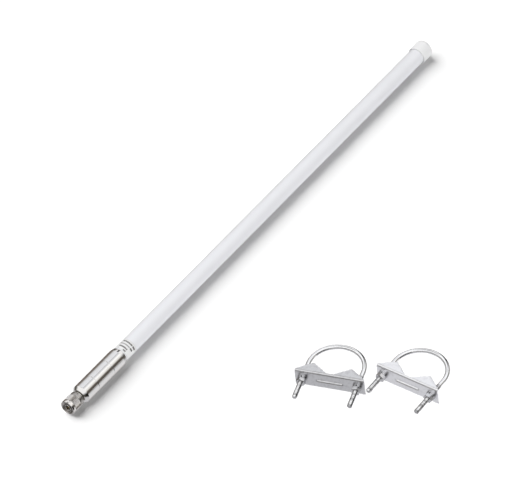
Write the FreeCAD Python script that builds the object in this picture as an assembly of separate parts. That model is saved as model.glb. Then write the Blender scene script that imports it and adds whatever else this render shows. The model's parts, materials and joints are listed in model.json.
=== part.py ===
import FreeCAD, Part
import math
import os

# Omnidirectional fibreglass antenna with its two mast clamps, as the kit lies on a bench.
#
# Lengths are in millimetres, angles in degrees. +X runs along the antenna from its plug to its tip, +Z is up.
# The origin is on the antenna's axis, at the end of the plug's outer contact. The ferrule and the end cap
# have one diameter, so the antenna lies level on them, and the clamps lie on the same surface beside it.

# ---- radome, ferrule and cap ----
TUBE_OD = 20.0
TUBE_WALL = 2.0
BOND_GAP = 0.25             # adhesive round the tube, in the ferrule
FERRULE_WALL = 1.15
FERRULE_START = 21.7
FERRULE_LENGTH = 75.7
FERRULE_NOSE_OD = 17.0
FERRULE_NOSE_CHAMFER = 4.1  # along the axis
FERRULE_MOUTH_OD = 21.0
FERRULE_MOUTH_CHAMFER = 4.8
FERRULE_END_WALL = 8.3
TUBE_LEDGE = 2.0            # step between the ferrule's end wall and the tube
TUBE_LEDGE_WIDTH = 1.5
RING_GROOVE_WIDTH = 0.8
RING_GROOVE_DEPTH = 0.3
RING_GROOVES_AT = (23.2, 51.8)   # from the ferrule's start
SEAL_DEPTH = 2.0
SEAL_BEAD = 0.6
CAP_START = 677.8
CAP_LENGTH = 18.4
CAP_END_WALL = 2.2
CAP_EDGE_RADIUS = 4.5
TIP_PAD_LENGTH = 10.0

# ---- label ----
LABEL_GAP = 0.9             # from the sealant bead
LABEL_LENGTH = 17.0
LABEL_THICKNESS = 0.12
LABEL_WRAP = 250.0
LABEL_CENTRE = 60.0         # from +Z, turning towards -Y

# ---- plug: 5/8-24 coupling thread, 8 mm outer contact, 1.6 mm pin ----
SLEEVE_OD = 8.0
SLEEVE_SEAT_OD = 8.4        # where the sleeve sits in the gasket and the body
SLEEVE_WALL = 0.5
SLEEVE_LENGTH = 12.0
SLEEVE_SLOT_WIDTH = 0.5
SLEEVE_SLOT_LENGTH = 5.0
SLEEVE_SLOTS = 4
PIN_OD = 1.6
PIN_TIP_AT = 1.5
PIN_SHOULDER_AT = 7.0
PIN_SHOULDER_OD = 3.0
PIN_END = 22.0
BEAD_START = 9.0
BEAD_END = 18.0
NUT_FRONT = -0.8
NUT_LIP = 4.8               # plain ring at the mouth
NUT_KNURL = 9.5             # knurled band
NUT_COLLAR = 5.5            # plain collar behind it
NUT_WALL = 1.3              # round the thread relief
NUT_COLLAR_STEP = 0.4       # of the collar below the lip
KNURL_TEETH = 44
KNURL_DEPTH = 0.5
NUT_THREAD_BORE = 14.8
NUT_THREAD_END = 8.0
NUT_RELIEF_GAP = 1.15       # round the body's flange
NUT_RELIEF_END = 11.2
NUT_MOUTH_CHAMFER = 0.6
BODY_FLANGE_START = 8.6
BODY_FLANGE_LENGTH = 2.0
BODY_FLANGE_LIP = 1.1       # of the flange above the barrel
BODY_BARREL_OD = 11.4
BODY_NECK_LIP = 0.5         # of the neck above the spigot
BODY_SPIGOT_OD = 12.0
SPIGOT_PROTRUSION = 3.0     # of the plug body past the ferrule's end wall
CONNECTOR_GASKET_LENGTH = 1.2
CONNECTOR_GASKET_GAP = 0.6  # inside the nut's thread
BODY_GASKET_LENGTH = 0.8
BODY_GASKET_PROUD = 0.2
RETAINER_AT = 13.5
RETAINER_LENGTH = 1.2
RETAINER_PROUD = 0.7        # of the snap ring above the barrel
RETAINER_SUNK = 0.8
RETAINER_GAP = 2.4
NUT_RUNNING_GAP = 0.08      # between the nut's rear bore and the body
NUT_END_GAP = 0.3           # axial and radial room round what turns

# ---- feed line and radiator ----
FEED_OUTER_OD = 3.6
FEED_OUTER_WALL = 0.3
FEED_CORE_OD = 0.92
FEED_SOCKET_START = 24.0
FEED_POINT = 200.0          # where the feed line ends and the radiator begins
WAVELENGTH = 345.0
CHOKE_OD = 12.0
CHOKE_WALL = 0.5
CHOKE_SHARE = 0.24          # of a wavelength
LOWER_SHARE = 0.475
UPPER_SHARE = 0.59
ROD_OD = 2.4
ROD_SOCKET = 6.0
FORMER_OD = 8.0
FORMER_LENGTH = 28.0
COIL_WIRE = 1.2
COIL_TURNS = 6
COIL_OVERHANG = 1.4         # of the coil's ends past the former
SPACER_LENGTH = 8.0
FEED_SPACER_AT = 60.0
LOWER_SPACER_AT = 280.0
UPPER_SPACER_SETBACK = 14.0  # from the upper rod's end

# ---- mast clamp ----
LEG_SPACING = 65.4
LEG_REACH = 31.65           # of the leg ends in front of the saddle's plate
RING_CENTRE = 24.2          # behind the plate's front face
SHANK_OD = 5.3
THREAD_OD = 5.9
THREAD_LENGTH = 48.0
LEG_CHAMFER = 0.8
SADDLE_END = 8.65           # from a leg's axis to the saddle's end
SADDLE_HEIGHT = 23.8
SADDLE_SHEET = 2.0
SADDLE_BEND = 3.0           # outer radius of the folds
FLANGE_END = 2.4            # flange depth at the saddle's ends
JAW_PEAK_AT = 23.0
JAW_PEAK = 15.3
JAW_FLOOR_AT = 5.0
JAW_FLOOR = 2.7
JAW_TEETH = 5
TOOTH_RISER_SHARE = 0.2     # of a tooth's width
TOOTH_RISE_SHARE = 0.62     # of a tooth's height
LEG_HOLE_CLEARANCE = 0.55
RIB_LENGTH = 33.0
RIB_RADIUS = 2.8
RIB_SETBACK = 1.2
RIB_OFFSET = -1.5           # below the middle of the plate
WASHER_OD = 12.0
WASHER_THICKNESS = 1.6
SPRING_WASHER_OD = 10.9
SPRING_WASHER_THICKNESS = 1.6
SPRING_WASHER_SLIT = 1.0
WASHER_CLEARANCE = 0.25
HEX_FLATS = 10.0
HEX_THICKNESS = 5.0
HEX_CHAMFER = 0.5
NUT_THREAD_GAP = 0.05
NUT_TURNS = {"left_nut_a": 12.0, "left_nut_b": 40.0, "right_nut_a": -8.0, "right_nut_b": 25.0}

# ---- where the clamps lie ----
LEFT_CLAMP_AT = (191.9, -230.1)
LEFT_CLAMP_YAW = -70.6
RIGHT_CLAMP_YAW = -87.6
RIGHT_LEG_FROM_LEFT_SADDLE = (-1.9, -6.2)   # right clamp's near leg end, from the left saddle's near corner

# ---- worked out from the values above ----
TUBE_ID = TUBE_OD - 2 * TUBE_WALL
BOND_OD = TUBE_OD + 2 * BOND_GAP
FERRULE_OD = BOND_OD + 2 * FERRULE_WALL
FERRULE_END = FERRULE_START + FERRULE_LENGTH
FERRULE_WALL_END = FERRULE_START + FERRULE_END_WALL
TUBE_START = FERRULE_WALL_END + TUBE_LEDGE
CAP_END = CAP_START + CAP_LENGTH
TUBE_END = CAP_END - CAP_END_WALL
SPIGOT_END = FERRULE_WALL_END + SPIGOT_PROTRUSION
NUT_KNURL_START = NUT_FRONT + NUT_LIP
NUT_COLLAR_START = NUT_KNURL_START + NUT_KNURL
NUT_END = NUT_COLLAR_START + NUT_COLLAR
NECK_START = NUT_END + NUT_END_GAP
NECK_END = FERRULE_START - BODY_GASKET_LENGTH
GASKET_START = BODY_FLANGE_START - CONNECTOR_GASKET_LENGTH
SLEEVE_ID = SLEEVE_OD - 2 * SLEEVE_WALL
BODY_FLANGE_OD = BODY_BARREL_OD + 2 * BODY_FLANGE_LIP
BODY_NECK_OD = BODY_SPIGOT_OD + 2 * BODY_NECK_LIP
RETAINER_OD = BODY_BARREL_OD + 2 * RETAINER_PROUD
RETAINER_ID = BODY_BARREL_OD - 2 * RETAINER_SUNK
NUT_RELIEF_BORE = BODY_FLANGE_OD + 2 * NUT_RELIEF_GAP
NUT_OD = NUT_RELIEF_BORE + 2 * NUT_WALL
NUT_COLLAR_OD = NUT_OD - 2 * NUT_COLLAR_STEP
FEED_DIELECTRIC_OD = FEED_OUTER_OD - 2 * FEED_OUTER_WALL
LOWER_END = FEED_POINT + LOWER_SHARE * WAVELENGTH
FORMER_START = LOWER_END - ROD_SOCKET
UPPER_START = FORMER_START + FORMER_LENGTH - ROD_SOCKET
UPPER_END = UPPER_START + UPPER_SHARE * WAVELENGTH
FLOOR_Z = -FERRULE_OD / 2
SADDLE_WIDTH = LEG_SPACING + 2 * SADDLE_END
CLAMP_Z = FLOOR_Z + SADDLE_HEIGHT / 2
HEX_SEAT = -(WASHER_THICKNESS + SPRING_WASHER_THICKNESS)

X_AXIS = FreeCAD.Vector(1, 0, 0)
Y_AXIS = FreeCAD.Vector(0, 1, 0)
Z_AXIS = FreeCAD.Vector(0, 0, 1)
ORIGIN = FreeCAD.Vector(0, 0, 0)


def turned(points):
    """A solid of revolution about X, from its half section as (x, radius) points."""
    wire = Part.makePolygon([FreeCAD.Vector(x, r, 0) for x, r in points + points[:1]])
    return Part.Face(wire).revolve(ORIGIN, X_AXIS, 360)


def ring(start, end, outer, inner):
    """A plain tube about X, by its two diameters."""
    return turned([(start, inner / 2), (end, inner / 2), (end, outer / 2), (start, outer / 2)])


def rod(start, end, diameter):
    """A plain rod along X."""
    return Part.makeCylinder(diameter / 2, end - start, FreeCAD.Vector(start, 0, 0), X_AXIS)


def prism(points, start, direction, length):
    """A flat outline of 3-D points, moved by start and extruded."""
    wire = Part.makePolygon([FreeCAD.Vector(*p) + start for p in points + points[:1]])
    return Part.Face(wire).extrude(direction * length)


# ---- antenna ----

def radome_tube():
    return ring(TUBE_START, TUBE_END, TUBE_OD, TUBE_ID)


def end_cap():
    """A cup over the tube's end, with a rounded outer edge."""
    cup = turned([
        (CAP_START, TUBE_OD / 2),
        (TUBE_END, TUBE_OD / 2),
        (TUBE_END, 0),
        (CAP_END, 0),
        (CAP_END, FERRULE_OD / 2),
        (CAP_START, FERRULE_OD / 2),
    ])
    rim = [
        edge for edge in cup.Edges
        if edge.BoundBox.XMin > CAP_END - 0.01 and edge.BoundBox.YLength > FERRULE_OD - 0.01
    ]
    return cup.makeFillet(CAP_EDGE_RADIUS, rim)


def tip_pad():
    return rod(TUBE_END - TIP_PAD_LENGTH, TUBE_END, TUBE_ID)


def base_ferrule():
    """A turned cup: chamfers at both ends, two fine ring grooves and a bore through its end wall."""
    ledge_radius = TUBE_OD / 2 - TUBE_LEDGE_WIDTH
    shell = turned([
        (FERRULE_START, BODY_SPIGOT_OD / 2),
        (FERRULE_WALL_END, BODY_SPIGOT_OD / 2),
        (FERRULE_WALL_END, ledge_radius),
        (TUBE_START, ledge_radius),
        (TUBE_START, BOND_OD / 2),
        (FERRULE_END, BOND_OD / 2),
        (FERRULE_END, FERRULE_MOUTH_OD / 2),
        (FERRULE_END - FERRULE_MOUTH_CHAMFER, FERRULE_OD / 2),
        (FERRULE_START + FERRULE_NOSE_CHAMFER, FERRULE_OD / 2),
        (FERRULE_START, FERRULE_NOSE_OD / 2),
    ])
    for offset in RING_GROOVES_AT:
        start = FERRULE_START + offset
        cutter = ring(start, start + RING_GROOVE_WIDTH, FERRULE_OD + 1, FERRULE_OD - 2 * RING_GROOVE_DEPTH)
        shell = shell.cut(cutter)
    return shell


def ferrule_bond():
    return ring(TUBE_START, FERRULE_END - SEAL_DEPTH, BOND_OD, TUBE_OD)


def ferrule_seal():
    """Sealant: a ring inside the ferrule's mouth that ends in a small bead outside it."""
    return turned([
        (FERRULE_END - SEAL_DEPTH, TUBE_OD / 2),
        (FERRULE_END + SEAL_BEAD, TUBE_OD / 2),
        (FERRULE_END, BOND_OD / 2),
        (FERRULE_END - SEAL_DEPTH, BOND_OD / 2),
    ])


def id_label():
    """A thin sticker wrapped part of the way round the tube."""
    start = FERRULE_END + SEAL_BEAD + LABEL_GAP
    section = Part.makePolygon([
        FreeCAD.Vector(x, 0, r)
        for x, r in (
            (start, TUBE_OD / 2),
            (start + LABEL_LENGTH, TUBE_OD / 2),
            (start + LABEL_LENGTH, TUBE_OD / 2 + LABEL_THICKNESS),
            (start, TUBE_OD / 2 + LABEL_THICKNESS),
            (start, TUBE_OD / 2),
        )
    ])
    sticker = Part.Face(section).revolve(ORIGIN, X_AXIS, LABEL_WRAP)
    sticker.rotate(ORIGIN, X_AXIS, LABEL_CENTRE - LABEL_WRAP / 2)
    return sticker


# ---- plug ----

def contact_sleeve():
    """The outer contact, slotted at its free end and a little thicker where it is seated."""
    sleeve = turned([
        (0, SLEEVE_ID / 2),
        (SLEEVE_LENGTH, SLEEVE_ID / 2),
        (SLEEVE_LENGTH, SLEEVE_SEAT_OD / 2),
        (GASKET_START, SLEEVE_SEAT_OD / 2),
        (GASKET_START, SLEEVE_OD / 2),
        (0, SLEEVE_OD / 2),
    ])
    slot = Part.makeBox(
        SLEEVE_SLOT_LENGTH, SLEEVE_SLOT_WIDTH, SLEEVE_OD, FreeCAD.Vector(0, -SLEEVE_SLOT_WIDTH / 2, 0))
    for i in range(SLEEVE_SLOTS):
        cutter = slot.copy()
        cutter.rotate(ORIGIN, X_AXIS, 45 + i * 360 / SLEEVE_SLOTS)
        sleeve = sleeve.cut(cutter)
    return sleeve


def front_insulator():
    return ring(BEAD_START, BEAD_END, SLEEVE_ID, PIN_SHOULDER_OD)


def centre_pin():
    """The inner contact: a domed pin, a shoulder and a solder socket for the feed line's core."""
    tip = PIN_OD / 2
    return turned([
        (PIN_TIP_AT, 0),
        (PIN_TIP_AT, tip / 2),
        (PIN_TIP_AT + tip / 2, tip),
        (PIN_SHOULDER_AT, tip),
        (PIN_SHOULDER_AT, PIN_SHOULDER_OD / 2),
        (PIN_END, PIN_SHOULDER_OD / 2),
        (PIN_END, FEED_CORE_OD / 2),
        (BEAD_END, FEED_CORE_OD / 2),
        (BEAD_END, 0),
    ])


def connector_body():
    """The plug's body: front flange, barrel with the retainer's groove, neck, and spigot into the ferrule."""
    flange_end = BODY_FLANGE_START + BODY_FLANGE_LENGTH
    shell = turned([
        (BODY_FLANGE_START, SLEEVE_SEAT_OD / 2),
        (SLEEVE_LENGTH, SLEEVE_SEAT_OD / 2),
        (SLEEVE_LENGTH, SLEEVE_ID / 2),
        (FEED_SOCKET_START, SLEEVE_ID / 2),
        (FEED_SOCKET_START, FEED_OUTER_OD / 2),
        (SPIGOT_END, FEED_OUTER_OD / 2),
        (SPIGOT_END, BODY_SPIGOT_OD / 2),
        (NECK_END, BODY_SPIGOT_OD / 2),
        (NECK_END, BODY_NECK_OD / 2),
        (NECK_START, BODY_NECK_OD / 2),
        (NECK_START, BODY_BARREL_OD / 2),
        (flange_end, BODY_BARREL_OD / 2),
        (flange_end, BODY_FLANGE_OD / 2),
        (BODY_FLANGE_START, BODY_FLANGE_OD / 2),
    ])
    return shell.cut(ring(RETAINER_AT, RETAINER_AT + RETAINER_LENGTH, BODY_BARREL_OD + 1, RETAINER_ID))


def nut_retaining_ring():
    """A split snap ring in the barrel's groove."""
    snap = ring(RETAINER_AT, RETAINER_AT + RETAINER_LENGTH, RETAINER_OD, RETAINER_ID)
    gap = Part.makeBox(
        RETAINER_LENGTH, RETAINER_GAP, RETAINER_OD, FreeCAD.Vector(RETAINER_AT, -RETAINER_GAP / 2, 0))
    return snap.cut(gap)


def connector_gasket():
    outer = NUT_THREAD_BORE - 2 * CONNECTOR_GASKET_GAP
    return ring(GASKET_START, BODY_FLANGE_START, outer, SLEEVE_SEAT_OD)


def body_gasket():
    return ring(NECK_END, FERRULE_START, BODY_NECK_OD + 2 * BODY_GASKET_PROUD, BODY_SPIGOT_OD)


def knurled_band():
    """A band with straight teeth, as a star outline carried along X."""
    crest = NUT_OD / 2
    root = crest - KNURL_DEPTH
    points = []
    for i in range(2 * KNURL_TEETH):
        angle = math.pi * i / KNURL_TEETH
        radius = crest if i % 2 == 0 else root
        points.append((0, radius * math.cos(angle), radius * math.sin(angle)))
    return prism(points, FreeCAD.Vector(NUT_KNURL_START, 0, 0), X_AXIS, NUT_KNURL)


def coupling_nut():
    """Lip, knurled band and collar outside; thread, relief, rear bore and retainer groove inside."""
    outside = turned([
        (NUT_FRONT, 0),
        (NUT_FRONT, NUT_OD / 2 - NUT_MOUTH_CHAMFER),
        (NUT_FRONT + NUT_MOUTH_CHAMFER, NUT_OD / 2),
        (NUT_KNURL_START, NUT_OD / 2),
        (NUT_KNURL_START, NUT_COLLAR_OD / 2 - KNURL_DEPTH),
        (NUT_COLLAR_START, NUT_COLLAR_OD / 2 - KNURL_DEPTH),
        (NUT_COLLAR_START, NUT_COLLAR_OD / 2),
        (NUT_END - NUT_MOUTH_CHAMFER, NUT_COLLAR_OD / 2),
        (NUT_END, NUT_COLLAR_OD / 2 - NUT_MOUTH_CHAMFER),
        (NUT_END, 0),
    ])
    rear_bore = BODY_BARREL_OD + 2 * NUT_RUNNING_GAP
    inside = turned([
        (NUT_FRONT, 0),
        (NUT_FRONT, NUT_THREAD_BORE / 2 + NUT_MOUTH_CHAMFER),
        (NUT_FRONT + NUT_MOUTH_CHAMFER, NUT_THREAD_BORE / 2),
        (NUT_THREAD_END, NUT_THREAD_BORE / 2),
        (NUT_THREAD_END, NUT_RELIEF_BORE / 2),
        (NUT_RELIEF_END, NUT_RELIEF_BORE / 2),
        (NUT_RELIEF_END, rear_bore / 2),
        (NUT_END, rear_bore / 2),
        (NUT_END, 0),
    ])
    groove = ring(
        RETAINER_AT - NUT_END_GAP, RETAINER_AT + RETAINER_LENGTH + NUT_END_GAP,
        RETAINER_OD + 2 * NUT_END_GAP, rear_bore - 1)
    return outside.fuse(knurled_band()).cut(inside).cut(groove)


# ---- feed line and radiator ----

def feed_outer():
    return ring(FEED_SOCKET_START, FEED_POINT, FEED_OUTER_OD, FEED_DIELECTRIC_OD)


def feed_dielectric():
    return ring(FEED_SOCKET_START, FEED_POINT, FEED_DIELECTRIC_OD, FEED_CORE_OD)


def feed_core():
    return rod(BEAD_END, FEED_POINT + ROD_SOCKET, FEED_CORE_OD)


def decoupling_sleeve():
    """A quarter-wave sleeve round the feed line, closed by a disc at the feed point."""
    start = FEED_POINT - CHOKE_SHARE * WAVELENGTH
    return turned([
        (start, CHOKE_OD / 2 - CHOKE_WALL),
        (FEED_POINT - CHOKE_WALL, CHOKE_OD / 2 - CHOKE_WALL),
        (FEED_POINT - CHOKE_WALL, FEED_OUTER_OD / 2),
        (FEED_POINT, FEED_OUTER_OD / 2),
        (FEED_POINT, CHOKE_OD / 2),
        (start, CHOKE_OD / 2),
    ])


def lower_radiator():
    """A rod with a solder socket for the feed line's core."""
    return turned([
        (FEED_POINT, FEED_CORE_OD / 2),
        (FEED_POINT + ROD_SOCKET, FEED_CORE_OD / 2),
        (FEED_POINT + ROD_SOCKET, 0),
        (LOWER_END, 0),
        (LOWER_END, ROD_OD / 2),
        (FEED_POINT, ROD_OD / 2),
    ])


def upper_radiator():
    return rod(UPPER_START, UPPER_END, ROD_OD)


def coil_former():
    """An insulating rod with a socket at each end for the radiator rods."""
    former = rod(FORMER_START, FORMER_START + FORMER_LENGTH, FORMER_OD)
    return former.cut(rod(FORMER_START, LOWER_END, ROD_OD)).cut(
        rod(UPPER_START, FORMER_START + FORMER_LENGTH, ROD_OD))


def phasing_coil():
    """A helix round the former, with a radial tail at each end that meets the radiator rods."""
    start = FORMER_START - COIL_OVERHANG
    length = FORMER_LENGTH + 2 * COIL_OVERHANG
    radius = FORMER_OD / 2 + COIL_WIRE / 2
    helix = Part.makeHelix(length / COIL_TURNS, length, radius)
    section = Part.Wire(Part.makeCircle(COIL_WIRE / 2, FreeCAD.Vector(radius, 0, 0), Y_AXIS))
    winding = Part.Wire(helix).makePipeShell([section], True, True)
    for height in (0, length):
        tail = Part.makeCylinder(
            COIL_WIRE / 2, radius - ROD_OD / 2, FreeCAD.Vector(ROD_OD / 2, 0, height), X_AXIS)
        knuckle = Part.makeSphere(COIL_WIRE / 2, FreeCAD.Vector(radius, 0, height))
        winding = winding.fuse([tail, knuckle])
    for height in (0, length):
        winding = winding.cut(
            Part.makeCylinder(ROD_OD / 2, 2 * COIL_WIRE, FreeCAD.Vector(0, 0, height - COIL_WIRE), Z_AXIS))
    winding.rotate(ORIGIN, Y_AXIS, 90)
    winding.translate(FreeCAD.Vector(start, 0, 0))
    return winding


def spacer(middle, bore):
    """A foam disc that centres what passes through it in the tube."""
    return ring(middle - SPACER_LENGTH / 2, middle + SPACER_LENGTH / 2, TUBE_ID, bore)


# ---- mast clamp, in its own frame: x across, y from the plate towards the ring, z up ----

def leg(side):
    """One straight leg: rolled thread, then the thinner shank, as far as the ring."""
    x = side * LEG_SPACING / 2
    radius = THREAD_OD / 2
    end = FreeCAD.Vector(x, -LEG_REACH, 0)
    thread = Part.makeCylinder(
        radius, THREAD_LENGTH - LEG_CHAMFER, end + Y_AXIS * LEG_CHAMFER, Y_AXIS)
    nose = Part.makeCone(radius - LEG_CHAMFER, radius, LEG_CHAMFER, end, Y_AXIS)
    shank_start = THREAD_LENGTH - LEG_REACH
    shank = Part.makeCylinder(
        SHANK_OD / 2, RING_CENTRE - shank_start, FreeCAD.Vector(x, shank_start, 0), Y_AXIS)
    return nose.fuse([thread, shank])


def u_bolt():
    """Two legs joined by a half ring."""
    section = Part.Face(Part.Wire(Part.makeCircle(
        SHANK_OD / 2, FreeCAD.Vector(LEG_SPACING / 2, RING_CENTRE, 0), Y_AXIS)))
    bow = section.revolve(FreeCAD.Vector(0, RING_CENTRE, 0), Z_AXIS, 180)
    return bow.fuse([leg(1), leg(-1)]).removeSplitter()


def jaw_outline():
    """The flange's outline in x and y: slanted ends, two peaks and the toothed notch between them."""
    tooth_width = (JAW_PEAK_AT - JAW_FLOOR_AT) / JAW_TEETH
    tooth_height = (JAW_PEAK - JAW_FLOOR) / JAW_TEETH
    half = [(JAW_FLOOR_AT, JAW_FLOOR)]
    for i in range(JAW_TEETH):
        x = JAW_FLOOR_AT + i * tooth_width
        y = JAW_FLOOR + i * tooth_height
        half.append((x + tooth_width * TOOTH_RISER_SHARE, y + tooth_height * TOOTH_RISE_SHARE))
        half.append((x + tooth_width, y + tooth_height))
    half.append((SADDLE_WIDTH / 2, FLANGE_END))
    half.append((SADDLE_WIDTH / 2, -RIB_RADIUS))
    return half + [(-x, y) for x, y in reversed(half)]


def channel():
    """The folded sheet before its flanges are cut: a U section with rounded folds, carried across."""
    def section(inset):
        y = inset
        z = SADDLE_HEIGHT / 2 - inset
        bend = SADDLE_BEND - inset
        middle = bend * (1 - math.sqrt(0.5))
        start = FreeCAD.Vector(0, JAW_PEAK + 1, -z)
        low = FreeCAD.Vector(0, y + bend, -z)
        high = FreeCAD.Vector(0, y + bend, z)
        finish = FreeCAD.Vector(0, JAW_PEAK + 1, z)
        plate_low = FreeCAD.Vector(0, y, -z + bend)
        plate_high = FreeCAD.Vector(0, y, z - bend)
        edges = [
            Part.makeLine(start, low),
            Part.Arc(low, FreeCAD.Vector(0, y + middle, -z + middle), plate_low).toShape(),
            Part.makeLine(plate_low, plate_high),
            Part.Arc(plate_high, FreeCAD.Vector(0, y + middle, z - middle), high).toShape(),
            Part.makeLine(high, finish),
            Part.makeLine(finish, start),
        ]
        solid = Part.Face(Part.Wire(edges)).extrude(X_AXIS * SADDLE_WIDTH)
        solid.translate(FreeCAD.Vector(-SADDLE_WIDTH / 2, 0, 0))
        return solid
    return section(0).cut(section(SADDLE_SHEET))


def capsule(radius, length, y, z):
    """A round-ended bar across the clamp."""
    reach = length / 2 - radius
    bar = Part.makeCylinder(radius, 2 * reach, FreeCAD.Vector(-reach, y, z), X_AXIS)
    ends = [Part.makeSphere(radius, FreeCAD.Vector(side * reach, y, z)) for side in (-1, 1)]
    return bar.fuse(ends)


def saddle():
    """The stamped bracket: folded channel, toothed jaws, leg holes and a pressed rib."""
    outline = [(x, y, 0) for x, y in jaw_outline()]
    jaws = prism(outline, FreeCAD.Vector(0, 0, -SADDLE_HEIGHT), Z_AXIS, 2 * SADDLE_HEIGHT)
    sheet = channel().common(jaws)
    room = Part.makeBox(
        RIB_LENGTH, SADDLE_SHEET + RIB_RADIUS, 2 * RIB_RADIUS,
        FreeCAD.Vector(-RIB_LENGTH / 2, -RIB_RADIUS, RIB_OFFSET - RIB_RADIUS))
    sheet = sheet.fuse(capsule(RIB_RADIUS, RIB_LENGTH, RIB_SETBACK, RIB_OFFSET).common(room))
    hollow_radius = RIB_RADIUS - SADDLE_SHEET + RIB_SETBACK / 2
    hollow_length = RIB_LENGTH - 2 * (RIB_RADIUS - hollow_radius)
    sheet = sheet.cut(capsule(hollow_radius, hollow_length, RIB_SETBACK, RIB_OFFSET))
    slot = Part.makeBox(
        hollow_length - 2 * hollow_radius, SADDLE_SHEET + RIB_RADIUS, 2 * hollow_radius,
        FreeCAD.Vector(-hollow_length / 2 + hollow_radius, RIB_SETBACK, RIB_OFFSET - hollow_radius))
    sheet = sheet.cut(slot)
    hole_radius = THREAD_OD / 2 + LEG_HOLE_CLEARANCE
    for side in (-1, 1):
        sheet = sheet.cut(Part.makeCylinder(
            hole_radius, 3 * SADDLE_SHEET, FreeCAD.Vector(side * LEG_SPACING / 2, -SADDLE_SHEET, 0), Y_AXIS))
    return sheet.removeSplitter()


def washer(side, outer, start, thickness, slit):
    """A washer on one leg, from start towards the leg's end, split where slit is more than 0."""
    x = side * LEG_SPACING / 2
    face = FreeCAD.Vector(x, start, 0)
    disc = Part.makeCylinder(outer / 2, thickness, face, -Y_AXIS)
    disc = disc.cut(Part.makeCylinder(THREAD_OD / 2 + WASHER_CLEARANCE, thickness, face, -Y_AXIS))
    if slit:
        disc = disc.cut(Part.makeBox(
            slit, thickness, outer, FreeCAD.Vector(x - slit / 2, start - thickness, 0)))
    return disc


def flat_washers():
    return Part.makeCompound([washer(side, WASHER_OD, 0, WASHER_THICKNESS, 0) for side in (-1, 1)])


def spring_washers():
    return Part.makeCompound([
        washer(side, SPRING_WASHER_OD, -WASHER_THICKNESS, SPRING_WASHER_THICKNESS, SPRING_WASHER_SLIT)
        for side in (-1, 1)
    ])


def hex_nut(side, turn):
    """A hex nut against the spring washer, chamfered all round at both faces."""
    x = side * LEG_SPACING / 2
    corner = HEX_FLATS / math.sqrt(3)
    points = []
    for i in range(6):
        angle = math.radians(60 * i + turn)
        points.append((corner * math.cos(angle), 0, corner * math.sin(angle)))
    seat = FreeCAD.Vector(x, HEX_SEAT, 0)
    block = prism(points, seat, -Y_AXIS, HEX_THICKNESS)
    straight = HEX_THICKNESS - 2 * HEX_CHAMFER
    narrow = corner - 2 * HEX_CHAMFER
    envelope = Part.makeCone(narrow, corner, HEX_CHAMFER, seat, -Y_AXIS).fuse([
        Part.makeCylinder(corner, straight, seat - Y_AXIS * HEX_CHAMFER, -Y_AXIS),
        Part.makeCone(corner, narrow, HEX_CHAMFER, seat - Y_AXIS * (HEX_CHAMFER + straight), -Y_AXIS),
    ])
    bore = Part.makeCylinder(THREAD_OD / 2 + NUT_THREAD_GAP, HEX_THICKNESS, seat, -Y_AXIS)
    return block.common(envelope).cut(bore)


def clamp_pieces(side_name):
    """The pieces of one clamp in its own frame, by node name."""
    return {
        side_name + "_u_bolt": u_bolt(),
        side_name + "_saddle": saddle(),
        side_name + "_flat_washers": flat_washers(),
        side_name + "_spring_washers": spring_washers(),
        side_name + "_nut_a": hex_nut(-1, NUT_TURNS[side_name + "_nut_a"]),
        side_name + "_nut_b": hex_nut(1, NUT_TURNS[side_name + "_nut_b"]),
    }


def on_floor(x, y, yaw):
    """The place of a clamp that lies on its lower flange, turned by yaw."""
    return FreeCAD.Placement(FreeCAD.Vector(x, y, CLAMP_Z), FreeCAD.Rotation(Z_AXIS, yaw))


def clamp_places():
    """Both clamps' places. The right one's near leg end keeps its place beside the left saddle's corner."""
    left = on_floor(*LEFT_CLAMP_AT, LEFT_CLAMP_YAW)
    corner = left.multVec(FreeCAD.Vector(SADDLE_WIDTH / 2, 0, 0))
    leg_end = corner + FreeCAD.Vector(*RIGHT_LEG_FROM_LEFT_SADDLE, 0)
    turn = FreeCAD.Rotation(Z_AXIS, RIGHT_CLAMP_YAW)
    origin = leg_end + turn.multVec(FreeCAD.Vector(LEG_SPACING / 2, LEG_REACH, 0))
    return {"left": left, "right": on_floor(origin.x, origin.y, RIGHT_CLAMP_YAW)}


def antenna_pieces():
    """Every piece of the antenna itself, by node name."""
    upper_spacer_at = UPPER_END - UPPER_SPACER_SETBACK
    return {
        "radome_tube": radome_tube(),
        "end_cap": end_cap(),
        "tip_pad": tip_pad(),
        "base_ferrule": base_ferrule(),
        "ferrule_bond": ferrule_bond(),
        "ferrule_seal": ferrule_seal(),
        "id_label": id_label(),
        "contact_sleeve": contact_sleeve(),
        "front_insulator": front_insulator(),
        "centre_pin": centre_pin(),
        "connector_body": connector_body(),
        "nut_retaining_ring": nut_retaining_ring(),
        "connector_gasket": connector_gasket(),
        "body_gasket": body_gasket(),
        "coupling_nut": coupling_nut(),
        "feed_outer": feed_outer(),
        "feed_dielectric": feed_dielectric(),
        "feed_core": feed_core(),
        "decoupling_sleeve": decoupling_sleeve(),
        "lower_radiator": lower_radiator(),
        "upper_radiator": upper_radiator(),
        "coil_former": coil_former(),
        "phasing_coil": phasing_coil(),
        "feed_spacer": spacer(FEED_SPACER_AT, FEED_OUTER_OD),
        "lower_spacer": spacer(LOWER_SPACER_AT, ROD_OD),
        "upper_spacer": spacer(upper_spacer_at, ROD_OD),
    }


def main():
    """Builds every piece and writes each to its own STEP file."""
    pieces = antenna_pieces()
    for side_name, place in clamp_places().items():
        print(side_name, "clamp at", place.Base, "yaw", round(math.degrees(place.Rotation.Angle), 2))
        for name, shape in clamp_pieces(side_name).items():
            shape.Placement = place
            pieces[name] = shape
    os.makedirs("parts", exist_ok=True)
    for name, shape in pieces.items():
        if not shape.isValid():
            raise ValueError(name + " is not a valid solid")
        shape.exportStep("parts/" + name + ".step")
        print(name, len(shape.Solids), round(shape.Volume, 2))


main()
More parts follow.
